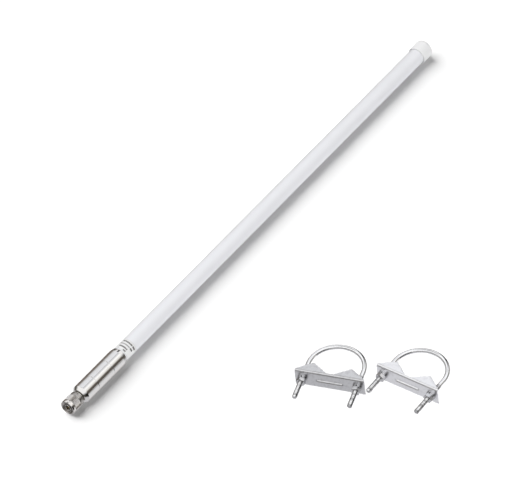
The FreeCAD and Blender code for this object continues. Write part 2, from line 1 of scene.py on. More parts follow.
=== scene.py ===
"""Looks of an omnidirectional fibreglass antenna and its two U-bolt mast clamps.

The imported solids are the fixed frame. Every visible piece is worked out here as a smooth surface in
the same frame, gets a procedural finish, and rides on the body of the solid that it stands for.
Sizes are in millimetres, and meshes are put down in metres.
"""

import sys
import json
import logging
import math
from dataclasses import dataclass, field
from enum import Enum
from typing import Any, Callable, Iterable, Mapping, Optional, Sequence, Union

import bmesh
import bpy
import numpy as np
from mathutils import Matrix, Vector
from numpy.typing import NDArray


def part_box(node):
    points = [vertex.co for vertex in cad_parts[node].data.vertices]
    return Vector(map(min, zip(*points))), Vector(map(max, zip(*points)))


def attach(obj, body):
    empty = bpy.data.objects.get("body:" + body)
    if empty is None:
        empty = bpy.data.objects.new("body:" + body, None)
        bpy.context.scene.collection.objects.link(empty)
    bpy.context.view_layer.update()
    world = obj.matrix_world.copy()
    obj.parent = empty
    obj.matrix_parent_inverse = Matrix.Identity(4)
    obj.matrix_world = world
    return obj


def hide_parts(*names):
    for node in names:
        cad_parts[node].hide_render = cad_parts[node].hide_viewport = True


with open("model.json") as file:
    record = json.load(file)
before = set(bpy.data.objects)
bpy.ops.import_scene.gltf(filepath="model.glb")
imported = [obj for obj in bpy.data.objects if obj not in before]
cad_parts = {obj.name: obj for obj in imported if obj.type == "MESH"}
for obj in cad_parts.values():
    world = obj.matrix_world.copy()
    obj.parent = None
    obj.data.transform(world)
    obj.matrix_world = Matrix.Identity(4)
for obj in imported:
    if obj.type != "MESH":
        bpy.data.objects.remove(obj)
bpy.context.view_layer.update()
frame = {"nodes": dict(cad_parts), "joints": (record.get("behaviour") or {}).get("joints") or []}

LOG = logging.getLogger("antenna_scene")
FloatArray = NDArray[np.float64]
IntArray = NDArray[np.int64]
Colour = tuple[float, float, float]

MM = 0.001
TAU = 2.0 * math.pi
WELD = 1e-6          # metres, within which two points are one
THREAD_ROWS = 10     # rows of a grid to one pitch of a thread
BLACK = (0.0, 0.0, 0.0)
WHITE = (1.0, 1.0, 1.0)


class Side(Enum):
    """The two mast clamps, by the first word of their nodes and bodies."""

    LEFT = "left"
    RIGHT = "right"


class Leg(Enum):
    """The two legs of a U-bolt, as the sign of x in the clamp's own frame."""

    A = -1
    B = 1


# ---------------------------------------------------------------------------------------------
# Surfaces
# ---------------------------------------------------------------------------------------------


def grid_quads(rows: int, cols: int, wrap_rows: bool = False, wrap_cols: bool = False,
               keep: Optional[NDArray[np.bool_]] = None) -> IntArray:
    """Lists the quads of a grid of points.

    Args:
        rows: number of rows of points.
        cols: number of points in a row.
        wrap_rows: whether the last row is joined to the first.
        wrap_cols: whether the last column is joined to the first.
        keep: which cells are kept, or None for all of them.

    Returns:
        An array of four point numbers for each cell.
    """
    i, j = np.meshgrid(np.arange(rows if wrap_rows else rows - 1),
                       np.arange(cols if wrap_cols else cols - 1), indexing="ij")
    i2, j2 = (i + 1) % rows, (j + 1) % cols
    quads = np.stack([i * cols + j, i2 * cols + j, i2 * cols + j2, i * cols + j2], axis=-1)
    return quads.reshape(-1, 4) if keep is None else quads[keep]


def lathe(profile: FloatArray, angles: FloatArray) -> FloatArray:
    """Turns a profile about the X axis.

    A point at x and radius r goes to (x, -r sin a, r cos a) for each angle a, so angles are
    measured from +Z towards -Y.

    Args:
        profile: (n, 2) array of x and radius.
        angles: the angles in radians.

    Returns:
        An (n, len(angles), 3) grid.
    """
    x, r = profile[:, 0, None], profile[:, 1, None]
    a = angles[None, :]
    return np.stack([x + 0.0 * a, -r * np.sin(a), r * np.cos(a)], axis=-1)


def around(count: int) -> FloatArray:
    """Gives count angles, evenly spaced over a full turn."""
    return np.arange(count) * TAU / count


def eased(profile: Sequence[tuple[float, float]], radius: float, steps: int = 3) -> FloatArray:
    """Rounds every corner of a closed profile.

    Each corner c becomes a quadratic curve (1-t)^2 a + 2 t (1-t) c + t^2 b, where a and b lie on
    its two sides, at the radius from c or at 0.4 of a shorter side.

    Args:
        profile: the corners, in order.
        radius: how far from a corner the curve starts.
        steps: the number of spans of each curve.

    Returns:
        The rounded profile as an array of points.
    """
    corners = np.asarray(profile, float)
    to_last = np.roll(corners, 1, axis=0) - corners
    to_next = np.roll(corners, -1, axis=0) - corners
    size_last = np.maximum(np.linalg.norm(to_last, axis=1, keepdims=True), 1e-9)
    size_next = np.maximum(np.linalg.norm(to_next, axis=1, keepdims=True), 1e-9)
    start = corners + to_last / size_last * np.minimum(radius, 0.4 * size_last)
    finish = corners + to_next / size_next * np.minimum(radius, 0.4 * size_next)
    t = np.linspace(0.0, 1.0, steps + 1)[None, :, None]
    curve = ((1 - t) ** 2 * start[:, None] + 2 * t * (1 - t) * corners[:, None]
             + t ** 2 * finish[:, None])
    return curve.reshape(-1, 2)


def smooth_step(t: FloatArray) -> FloatArray:
    """Runs from 0 to 1 as t does, level at both ends: t^2 (3 - 2t)."""
    t = np.clip(t, 0.0, 1.0)
    return t * t * (3.0 - 2.0 * t)


def thread_form(turns: FloatArray, flat: float = 0.14) -> FloatArray:
    """Gives a thread's height from 0 to 1: a triangle wave of the turns, cut flat at both ends."""
    wave = 1.0 - np.abs(2.0 * (turns - np.floor(turns)) - 1.0)
    return np.clip((wave - flat) / (1.0 - 2.0 * flat), 0.0, 1.0)


@dataclass
class Skin:
    """The surfaces of one piece, gathered before they become a mesh.

    Attributes:
        points: arrays of points in millimetres.
        quads: arrays of quads, numbered over all the points.
        count: the number of points so far.
    """

    points: list[FloatArray] = field(default_factory=list)
    quads: list[IntArray] = field(default_factory=list)
    count: int = 0

    def put(self, points: FloatArray, quads: IntArray) -> "Skin":
        """Adds points and the quads between them.

        Args:
            points: any array whose last axis is x, y, z.
            quads: quads numbered from this array's first point.

        Returns:
            The same skin.
        """
        flat = points.reshape(-1, 3)
        self.points.append(flat)
        self.quads.append(quads + self.count)
        self.count += len(flat)
        return self

    def grid(self, points: FloatArray, wrap_rows: bool = False, wrap_cols: bool = False) -> "Skin":
        """Adds one grid of points, joined to its neighbours."""
        rows, cols = points.shape[:2]
        return self.put(points, grid_quads(rows, cols, wrap_rows, wrap_cols))

    def shell(self, outer: FloatArray, inner: FloatArray, keep: NDArray[np.bool_],
              wrap_cols: bool = False) -> "Skin":
        """Adds a wall between two grids of the same shape.

        Both grids keep the same cells. Wherever a kept cell meets a missing one, or the border, a
        strip from grid to grid closes the wall.

        Args:
            outer: grid of the outer face.
            inner: grid of the inner face.
            keep: which cells are there.
            wrap_cols: whether the last column is joined to the first.

        Returns:
            The same skin.
        """
        rows, cols = outer.shape[:2]
        size = rows * cols
        faces = grid_quads(rows, cols, False, wrap_cols, keep)
        number = np.arange(size).reshape(rows, cols)
        ahead = np.roll(number, -1, axis=1) if wrap_cols else number[:, 1:]
        here = number if wrap_cols else number[:, :-1]
        missing = np.zeros((1, keep.shape[1]), bool)
        along = np.diff(np.vstack([missing, keep, missing]).astype(int), axis=0) != 0
        edges = [np.stack([here[along], ahead[along]], axis=-1)]
        if wrap_cols:
            across = keep != np.roll(keep, 1, axis=1)
            edges.append(np.stack([number[:-1][across], number[1:][across]], axis=-1))
        else:
            missing = np.zeros((keep.shape[0], 1), bool)
            across = np.diff(np.hstack([missing, keep, missing]).astype(int), axis=1) != 0
            edges.append(np.stack([number[:-1][across], number[1:][across]], axis=-1))
        edge = np.vstack(edges)
        strip = np.stack([edge[:, 0], edge[:, 1], edge[:, 1] + size, edge[:, 0] + size], axis=-1)
        return self.put(np.stack([outer, inner]), np.vstack([faces, faces + size, strip]))

    def moved(self, change: Callable[[FloatArray], FloatArray]) -> "Skin":
        """Gives a copy of this skin with every point put through a change."""
        return Skin([change(p) for p in self.points], list(self.quads), self.count)

    def mesh_object(self, name: str, sharp_degrees: float = 32.0) -> bpy.types.Object:
        """Makes the object: points welded, faces outward, smooth with sharp creases.

        Args:
            name: the piece's name.
            sharp_degrees: the angle past which an edge is a crease.

        Returns:
            The object, at the origin.
        """
        points = np.vstack(self.points) * MM
        quads = np.vstack(self.quads)
        mesh = bpy.data.meshes.new(name)
        mesh.from_pydata(points.tolist(), [], quads.tolist())
        work = bmesh.new()
        work.from_mesh(mesh)
        bmesh.ops.remove_doubles(work, verts=work.verts, dist=WELD)
        bmesh.ops.dissolve_degenerate(work, edges=work.edges, dist=WELD / 10)
        bmesh.ops.recalc_face_normals(work, faces=work.faces)
        work.to_mesh(mesh)
        work.free()
        mesh.shade_smooth()
        mesh.set_sharp_from_angle(angle=math.radians(sharp_degrees))
        item = bpy.data.objects.new(name, mesh)
        bpy.context.scene.collection.objects.link(item)
        return item


def turned(profile: FloatArray, segments: int = 96) -> Skin:
    """Gives the skin of a closed profile turned about X, of x and radius."""
    return Skin().grid(lathe(profile, around(segments)), wrap_rows=True, wrap_cols=True)


# ---------------------------------------------------------------------------------------------
# Shader maths
# ---------------------------------------------------------------------------------------------


class Wire:
    """One output of a node, with arithmetic that adds Math nodes to its tree."""

    def __init__(self, tree: "Tree", node: bpy.types.Node, output: Union[int, str] = 0) -> None:
        """Keeps the tree, the node and which of the node's outputs is meant."""
        self.tree, self.node, self.output = tree, node, output

    @property
    def socket(self) -> bpy.types.NodeSocket:
        """Gives the output's socket."""
        return self.node.outputs[self.output]

    def _math(self, operation: str, *values: Any) -> "Wire":
        """Adds one Math node for an operation on values."""
        return self.tree.add("ShaderNodeMath", {"operation": operation}, dict(enumerate(values)))

    def __add__(self, other: Any) -> "Wire":
        """Adds."""
        return self._math("ADD", self, other)

    def __radd__(self, other: Any) -> "Wire":
        """Adds, with the wire on the right."""
        return self._math("ADD", other, self)

    def __sub__(self, other: Any) -> "Wire":
        """Subtracts."""
        return self._math("SUBTRACT", self, other)

    def __rsub__(self, other: Any) -> "Wire":
        """Subtracts, with the wire on the right."""
        return self._math("SUBTRACT", other, self)

    def __mul__(self, other: Any) -> "Wire":
        """Multiplies."""
        return self._math("MULTIPLY", self, other)

    def __rmul__(self, other: Any) -> "Wire":
        """Multiplies, with the wire on the right."""
        return self._math("MULTIPLY", other, self)

    def absolute(self) -> "Wire":
        """Gives the size of the value."""
        return self._math("ABSOLUTE", self)

    def root(self) -> "Wire":
        """Gives the square root."""
        return self._math("SQRT", self)

    def angle_to(self, other: "Wire") -> "Wire":
        """Gives the angle whose tangent is this value over the other."""
        return self._math("ARCTAN2", self, other)

    def at_least(self, other: Any) -> "Wire":
        """Gives the larger of two values."""
        return self._math("MAXIMUM", self, other)

    def at_most(self, other: Any) -> "Wire":
        """Gives the smaller of two values."""
        return self._math("MINIMUM", self, other)

    def rise(self, low: float, high: float) -> "Wire":
        """Runs smoothly from 0 to 1 as the value goes from low to high."""
        return self.tree.add("ShaderNodeMapRange", {"interpolation_type": "SMOOTHSTEP"},
                             {"Value": self, "From Min": low, "From Max": high})

    def within(self, low: float, high: float, soft: float) -> "Wire":
        """Is 1 between low and high, and fades to 0 over the soft distance."""
        return self.rise(low - soft, low) * (1.0 - self.rise(high, high + soft))


Value = Union[float, Wire]


class Ending(Enum):
    """The node that ends a tree."""

    MATERIAL = "ShaderNodeOutputMaterial"
    WORLD = "ShaderNodeOutputWorld"


class Tree:
    """The node tree of a material or of the world, built from expressions."""

    def __init__(self, owner: Union[bpy.types.Material, bpy.types.World]) -> None:
        """Empties the tree.

        Args:
            owner: the material or the world.
        """
        owner.use_nodes = True
        self.nodes = owner.node_tree.nodes
        self.links = owner.node_tree.links
        self.nodes.clear()

    def add(self, kind: str, settings: Mapping[str, Any], inputs: Mapping[Any, Any],
            output: Union[int, str] = 0) -> Wire:
        """Adds one node: its settings first, then the values or links of its sockets.

        Args:
            kind: the node's type.
            settings: properties of the node. "stops" holds a ramp's places and colours.
            inputs: socket name or number to a number, a tuple or a wire.
            output: which output is wanted.

        Returns:
            That output as a wire.
        """
        node = self.nodes.new(kind)
        for key, value in settings.items():
            if key == "stops":
                stops = node.color_ramp.elements
                while len(stops) < len(value):
                    stops.new(0.5)
                for stop, (place, colour) in zip(stops, value):
                    stop.position = place
                    stop.color = (*colour, 1.0)
            else:
                setattr(node, key, value)
        for key, value in inputs.items():
            socket = node.inputs[key]
            if isinstance(value, Wire):
                self.links.new(value.socket, socket)
            elif isinstance(value, tuple) and len(value) == 3 and socket.type == "RGBA":
                socket.default_value = (*value, 1.0)
            else:
                socket.default_value = value
        return Wire(self, node, output)

    def end(self, ending: Ending, shader: Wire) -> None:
        """Adds the output node and gives it the shader."""
        self.add(ending.value, {}, {"Surface": shader})


class Paint(Tree):
    """A material's node tree, with the patterns that its finishes share."""

    def __init__(self, name: str) -> None:
        """Makes an empty material."""
        self.material = bpy.data.materials.new(name)
        super().__init__(self.material)

    def place(self, centre: Colour = (0.0, 0.0, 0.0), turn: float = 0.0,
              scale: Colour = (1.0, 1.0, 1.0)) -> Wire:
        """Gives Object coordinates, centred, turned about Z and scaled.

        Args:
            centre: the point that becomes the origin, in metres.
            turn: the angle about Z by which the pattern is turned, in radians.
            scale: the size of the pattern's units along its axes.

        Returns:
            The coordinates as a vector wire.
        """
        coordinates = self.add("ShaderNodeTexCoord", {}, {}, "Object")
        return self.add("ShaderNodeMapping", {"vector_type": "TEXTURE"},
                        {"Vector": coordinates, "Location": centre, "Rotation": (0.0, 0.0, turn),
                         "Scale": scale})

    def axes(self, vector: Wire) -> tuple[Wire, Wire, Wire]:
        """Splits a vector into its three numbers."""
        node = self.add("ShaderNodeSeparateXYZ", {}, {"Vector": vector}).node
        return Wire(self, node, 0), Wire(self, node, 1), Wire(self, node, 2)

    def noise(self, vector: Wire, scale: float, detail: float = 3.0, rough: float = 0.55) -> Wire:
        """Gives a soft noise between 0 and 1, with scale features to the unit."""
        return self.add("ShaderNodeTexNoise", {},
                        {"Vector": vector, "Scale": scale, "Detail": detail, "Roughness": rough})

    def cells(self, vector: Wire, scale: float) -> Wire:
        """Gives a random level for each cell of a broken pattern."""
        colour = self.add("ShaderNodeTexVoronoi", {}, {"Vector": vector, "Scale": scale}, "Color")
        return self.axes(colour)[0]

    def ramp(self, factor: Wire, stops: Sequence[tuple[float, Colour]]) -> Wire:
        """Turns a number between 0 and 1 into a colour, by places and colours in order."""
        return self.add("ShaderNodeValToRGB", {"stops": stops}, {"Fac": factor}, "Color")

    def mix(self, factor: Value, first: Union[Colour, Wire], second: Union[Colour, Wire]) -> Wire:
        """Mixes two colours, by the numbers of a Mix node's colour sockets."""
        return self.add("ShaderNodeMix", {"data_type": "RGBA"},
                        {0: factor, 6: first, 7: second}, 2)

    def shade(self, colour: Union[Colour, Wire], amount: Wire) -> Wire:
        """Multiplies a colour by a number that changes over the surface."""
        return self.mix(amount, BLACK, colour)

    def bump(self, height: Wire, distance: float, strength: float = 1.0) -> Wire:
        """Gives the surface direction for a height, where 1 stands for distance in metres."""
        return self.add("ShaderNodeBump", {},
                        {"Height": height, "Distance": distance, "Strength": strength})

    def surface(self, **inputs: Any) -> bpy.types.Material:
        """Ends the tree with a Principled surface.

        Args:
            inputs: socket names with _ for a space, such as base_color, and their values.

        Returns:
            The finished material.
        """
        named = {key.replace("_", " ").title().replace("Ior", "IOR"): value
                 for key, value in inputs.items()}
        shader = self.add("ShaderNodeBsdfPrincipled", {}, named, "BSDF")
        self.end(Ending.MATERIAL, shader)
        return self.material


# ---------------------------------------------------------------------------------------------
# Finishes
# ---------------------------------------------------------------------------------------------


@dataclass(frozen=True)
class GelCoat:
    """The white glossy skin of the glass-fibre tube.

    Attributes:
        white: the skin's colour.
        cloud: how far its level wanders.
        streak: how far the fibres under it show.
        rough: roughness of the skin.
        fibre: length and thickness of the fibres in metres.
        peel: ripples of the skin to the metre.
    """

    white: Colour = (0.81, 0.815, 0.845)
    cloud: float = 0.035
    streak: float = 0.03
    rough: float = 0.24
    fibre: Colour = (0.12, 0.0016, 0.0016)
    peel: float = 650.0

    def material(self, name: str) -> bpy.types.Material:
        """Makes the material.

        Args:
            name: the material's name.

        Returns:
            The finished material.
        """
        paint = Paint(name)
        plain = paint.place()
        drawn = paint.place(scale=self.fibre)
        cloud = paint.noise(plain, 9.0, 2.0)
        streak = paint.noise(drawn, 1.0, 4.0)
        level = 1.0 - (cloud * self.cloud + streak * self.streak)
        peel = paint.noise(plain, self.peel, 1.0)
        return paint.surface(
            base_color=paint.shade(self.white, level),
            roughness=self.rough + 0.10 * cloud,
            normal=paint.bump(peel * 0.6 + streak * 0.4, 0.00004, 0.35),
            specular_ior_level=0.5, coat_weight=0.35, coat_roughness=0.12)


@dataclass(frozen=True)
class MouldedPlastic:
    """Satin moulded plastic with a fine spark-eroded grain.

    Attributes:
        colour: the plastic's colour.
        rough: its roughness.
        grain: grains to the metre.
        depth: depth of the grain in metres.
    """

    colour: Colour = (0.80, 0.80, 0.805)
    rough: float = 0.46
    grain: float = 2600.0
    depth: float = 0.00005

    def material(self, name: str) -> bpy.types.Material:
        """Makes the material.

        Args:
            name: the material's name.

        Returns:
            The finished material.
        """
        paint = Paint(name)
        plain = paint.place()
        grain = paint.noise(plain, self.grain, 2.0)
        scuff = paint.noise(plain, 60.0, 4.0)
        return paint.surface(
            base_color=paint.shade(self.colour, 1.0 - 0.05 * scuff),
            roughness=self.rough + 0.12 * grain,
            normal=paint.bump(grain, self.depth, 0.5))


@dataclass(frozen=True)
class TurnedMetal:
    """Plated metal, polished on a lathe, so that its fine marks run round the X axis.

    Attributes:
        bright: colour of the clean plating.
        worn: colour that shows where it has dulled.
        rough: roughness of the clean plating.
        lines: polishing marks to the metre.
        haze: share of dulled plating.
        depth: depth of the marks in metres.
    """

    bright: Colour = (0.80, 0.788, 0.780)
    worn: Colour = (0.66, 0.62, 0.57)
    rough: float = 0.045
    lines: float = 5200.0
    haze: float = 0.4
    depth: float = 0.000004

    def material(self, name: str) -> bpy.types.Material:
        """Makes the material.

        Args:
            name: the material's name.

        Returns:
            The finished material.
        """
        paint = Paint(name)
        plain = paint.place()
        along, across, up = paint.axes(plain)
        radius = (across * across + up * up).root()
        marks = paint.add("ShaderNodeTexNoise", {"noise_dimensions": "1D"},
                          {"W": along + radius, "Scale": self.lines, "Detail": 3.0})
        haze = paint.noise(plain, 150.0, 5.0, 0.62).rise(0.50, 0.78) * self.haze
        spots = paint.cells(plain, 900.0).rise(0.90, 0.99) * 0.35
        dull = (haze + spots).at_most(1.0)
        return paint.surface(
            base_color=paint.mix(dull * 0.6, self.bright, self.worn),
            metallic=1.0,
            roughness=self.rough + 0.08 * dull + 0.05 * marks,
            normal=paint.bump(marks, self.depth, 0.6))


@dataclass(frozen=True)
class KnurledNickel:
    """Nickel plate on the coupling nut, lighter on the knurl's crests and darker in its roots:
    painted shade.

    Attributes:
        bright: colour on the crests.
        dull: colour in the roots, where shade is painted.
        rosy: colour where the brass shows through faintly.
        crest: radius of the crests in metres.
        root: radius of the roots in metres.
    """

    bright: Colour = (0.80, 0.775, 0.755)
    dull: Colour = (0.34, 0.325, 0.31)
    rosy: Colour = (0.80, 0.70, 0.64)
    crest: float = 0.00925
    root: float = 0.00865

    def material(self, name: str) -> bpy.types.Material:
        """Makes the material.

        Args:
            name: the material's name.

        Returns:
            The finished material.
        """
        paint = Paint(name)
        plain = paint.place()
        along, across, up = paint.axes(plain)
        radius = (across * across + up * up).root()
        # Painted shade: the colour darkens from the knurl's crests down into its roots, by radius.
        unshaded_crest = radius.rise(self.root, self.crest)
        inside = 1.0 - radius.rise(self.root - 0.0006, self.root - 0.0003)
        grime = paint.noise(plain, 420.0, 4.0, 0.6).rise(0.35, 0.70)
        bloom = paint.noise(plain, 190.0, 3.0).rise(0.50, 0.72)
        bare = paint.mix(bloom * 0.5, self.bright, self.rosy)
        shown = (unshaded_crest + inside * 0.4 + (1.0 - grime) * 0.25).at_most(1.0)
        marks = paint.noise(plain, 2600.0, 2.0)
        return paint.surface(
            base_color=paint.mix(shown, self.dull, bare),
            metallic=1.0,
            roughness=0.30 - 0.22 * shown + 0.06 * grime,
            normal=paint.bump(marks, 0.00001, 0.4))


@dataclass(frozen=True)
class ZincPlate:
    """Bright zinc plate, with a grain that runs along the clamp's own x.

    Attributes:
        bright: colour of the clean plate.
        grey: colour of its dull patches.
        rough: roughness of the clean plate.
        patchy: how far the dull patches show.
        grain: how far the grain shows in the roughness.
        depth: depth of the grain in metres.
        coarse: patches to the metre.
        centre: the clamp's own origin in metres.
        turn: the clamp's turn about Z.
        threads: how dark the painted shade in the threads is: broken stripes across the threaded
            legs.
        threads_end: where the threads stop along the clamp's own y, in metres.
        drawn: size of the grain in metres.
        stripe_size: size of the painted shade's stripes in metres.
    """

    bright: Colour = (0.82, 0.825, 0.84)
    grey: Colour = (0.60, 0.605, 0.63)
    rough: float = 0.14
    patchy: float = 0.5
    grain: float = 0.10
    depth: float = 0.00001
    coarse: float = 170.0
    centre: Colour = (0.0, 0.0, 0.0)
    turn: float = 0.0
    threads: float = 0.0
    threads_end: tuple[float, float] = (0.015, 0.017)
    drawn: Colour = (0.011, 0.00035, 0.00035)
    stripe_size: Colour = (0.020, 0.0014, 0.006)

    def material(self, name: str) -> bpy.types.Material:
        """Makes the material.

        Args:
            name: the material's name.

        Returns:
            The finished material.
        """
        paint = Paint(name)
        plain = paint.place(self.centre, self.turn)
        drawn = paint.place(self.centre, self.turn, self.drawn)
        stripe_noise = paint.noise(paint.place(self.centre, self.turn, self.stripe_size), 1.0, 1.0)
        depth = paint.axes(plain)[1]
        # Painted shade: broken dark stripes over the threaded part of the legs, standing in for the
        # shade of the thread's grooves.
        thread_stripe_shade = stripe_noise.rise(0.47, 0.56) * (1.0 - depth.rise(*self.threads_end)) * self.threads
        grain = paint.noise(drawn, 1.0, 4.0, 0.6)
        patch = paint.noise(plain, self.coarse, 4.0, 0.6).rise(0.42, 0.72)
        speck = paint.cells(plain, 1900.0)
        dull = (patch * self.patchy + speck * 0.12).at_most(1.0)
        clean = paint.mix(dull, self.bright, self.grey)
        return paint.surface(
            base_color=paint.shade(clean, 1.0 - thread_stripe_shade),
            metallic=1.0,
            roughness=self.rough + self.grain * grain + 0.10 * dull,
            normal=paint.bump(grain * 0.7 + speck * 0.3, self.depth, 0.5))


@dataclass(frozen=True)
class PlainBar:
    """One printed bar of the label.

    Attributes:
        along: distance of its middle from the label's start, in millimetres.
        start: angle at which it begins, in degrees from +Z towards -Y.
        end: angle at which it ends.
        ink: how dark it is, from 0 to 1.
        width: its width in millimetres.
    """

    along: float
    start: float
    end: float
    ink: float
    width: float


@dataclass(frozen=True)
class PrintedVinyl:
    """White vinyl with rows of plain bars, broken like worn print.

    Attributes:
        white: colour of the vinyl.
        ink: colour of the print.
        bars: the printed bars.
        start: where the label starts along X, in metres.
        length: its length in metres.
        blur: how softly a bar ends, in metres along X and in degrees round it.
        flake: size of the worn places in metres.
    """

    white: Colour = (0.80, 0.80, 0.80)
    ink: Colour = (0.085, 0.08, 0.08)
    bars: tuple[PlainBar, ...] = (
        PlainBar(1.7, -24.0, -10.0, 0.40, 1.3), PlainBar(1.9, 22.0, 42.0, 0.90, 1.8),
        PlainBar(5.2, -26.0, 42.0, 0.90, 1.8),
        PlainBar(9.5, -32.0, 44.0, 0.65, 1.4), PlainBar(9.5, 50.0, 74.0, 0.98, 1.9),
        PlainBar(13.8, -26.0, 48.0, 0.90, 1.8), PlainBar(13.8, 54.0, 83.0, 0.98, 1.9))
    start: float = 0.0989
    length: float = 0.017
    blur: tuple[float, float] = (0.00022, 1.5)
    flake: Colour = (0.0012, 0.0012, 0.0012)

    def material(self, name: str) -> bpy.types.Material:
        """Makes the material.

        Args:
            name: the material's name.

        Returns:
            The finished material.
        """
        paint = Paint(name)
        plain = paint.place()
        along, across, up = paint.axes(plain)
        turn = (across * -1.0).angle_to(up) * (180.0 / math.pi)
        breaks = paint.noise(paint.place(scale=self.flake), 1.0, 1.0)
        worn = breaks.rise(0.30, 0.42)
        print_level: Value = 0.0
        for bar in self.bars:
            middle = self.start + bar.along * MM
            half = bar.width * MM / 2
            row = along.within(middle - half, middle + half, self.blur[0])
            stretch = turn.within(bar.start, bar.end, self.blur[1])
            print_level = row * stretch * bar.ink + print_level
        half = self.length / 2
        edge = (along - self.start - half).absolute().rise(half - 0.0005, half - 0.0001)
        level = (print_level * (0.35 + 0.65 * worn)).at_most(1.0)
        shade = 1.0 - 0.22 * edge
        return paint.surface(
            base_color=paint.mix(level, paint.shade(self.white, shade), self.ink),
            roughness=0.38 + 0.10 * breaks,
            normal=paint.bump(breaks, 0.00003, 0.3),
            coat_weight=0.2, coat_roughness=0.2)


@dataclass(frozen=True)
class SoftSolid:
    """Rubber, sealant, foam, epoxy and other plain solids with a fine uneven skin.

    Attributes:
        colour: the main colour.
        second: the colour that it wanders to.
        rough: roughness.
        grain: features to the metre.
        depth: depth of the skin's grain in metres.
        clear: how far light sinks in.
    """

    colour: Colour
    second: Colour
    rough: float = 0.6
    grain: float = 900.0
    depth: float = 0.00005
    clear: float = 0.0

    def material(self, name: str) -> bpy.types.Material:
        """Makes the material.

        Args:
            name: the material's name.

        Returns:
            The finished material.
        """
        paint = Paint(name)
        plain = paint.place()
        grain = paint.noise(plain, self.grain, 3.0)
        cloud = paint.noise(plain, self.grain / 8.0, 3.0)
        return paint.surface(
            base_color=paint.mix(cloud, self.colour, self.second),
            roughness=self.rough + 0.12 * grain,
            normal=paint.bump(grain, self.depth, 0.6),
            subsurface_weight=self.clear, subsurface_radius=(0.002, 0.002, 0.002),
            subsurface_scale=0.5)


# ---------------------------------------------------------------------------------------------
# Putting pieces in the frame
# ---------------------------------------------------------------------------------------------


def settle(item: bpy.types.Object, body: str, material: bpy.types.Material,
           stands_for: Sequence[str]) -> bpy.types.Object:
    """Dresses a piece and ties it to the frame.

    Args:
        item: the piece.
        body: the body that it rides on.
        material: its finish.
        stands_for: the solids that it replaces.

    Returns:
        The same piece.
    """
    item.data.materials.clear()
    item.data.materials.append(material)
    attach(item, body)
    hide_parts(*stands_for)
    LOG.info("%s: %d faces on %s", item.name, len(item.data.polygons), body)
    return item


def dress_solid(node: str, material: bpy.types.Material) -> None:
    """Gives a solid of the frame a finish and leaves its shape alone.

    Args:
        node: the solid's name.
        material: its finish.
    """
    slots = frame["nodes"][node].data.materials
    slots.clear()
    slots.append(material)
    LOG.info("%s: kept, with a finish", node)


def span(node: str) -> tuple[float, float]:
    """Gives where a solid starts and ends along X, in millimetres."""
    low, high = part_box(node)
    return low.x / MM, high.x / MM


def width_of(node: str) -> float:
    """Gives a solid's size along Y, which is a round piece's diameter, in millimetres."""
    low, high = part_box(node)
    return (high.y - low.y) / MM


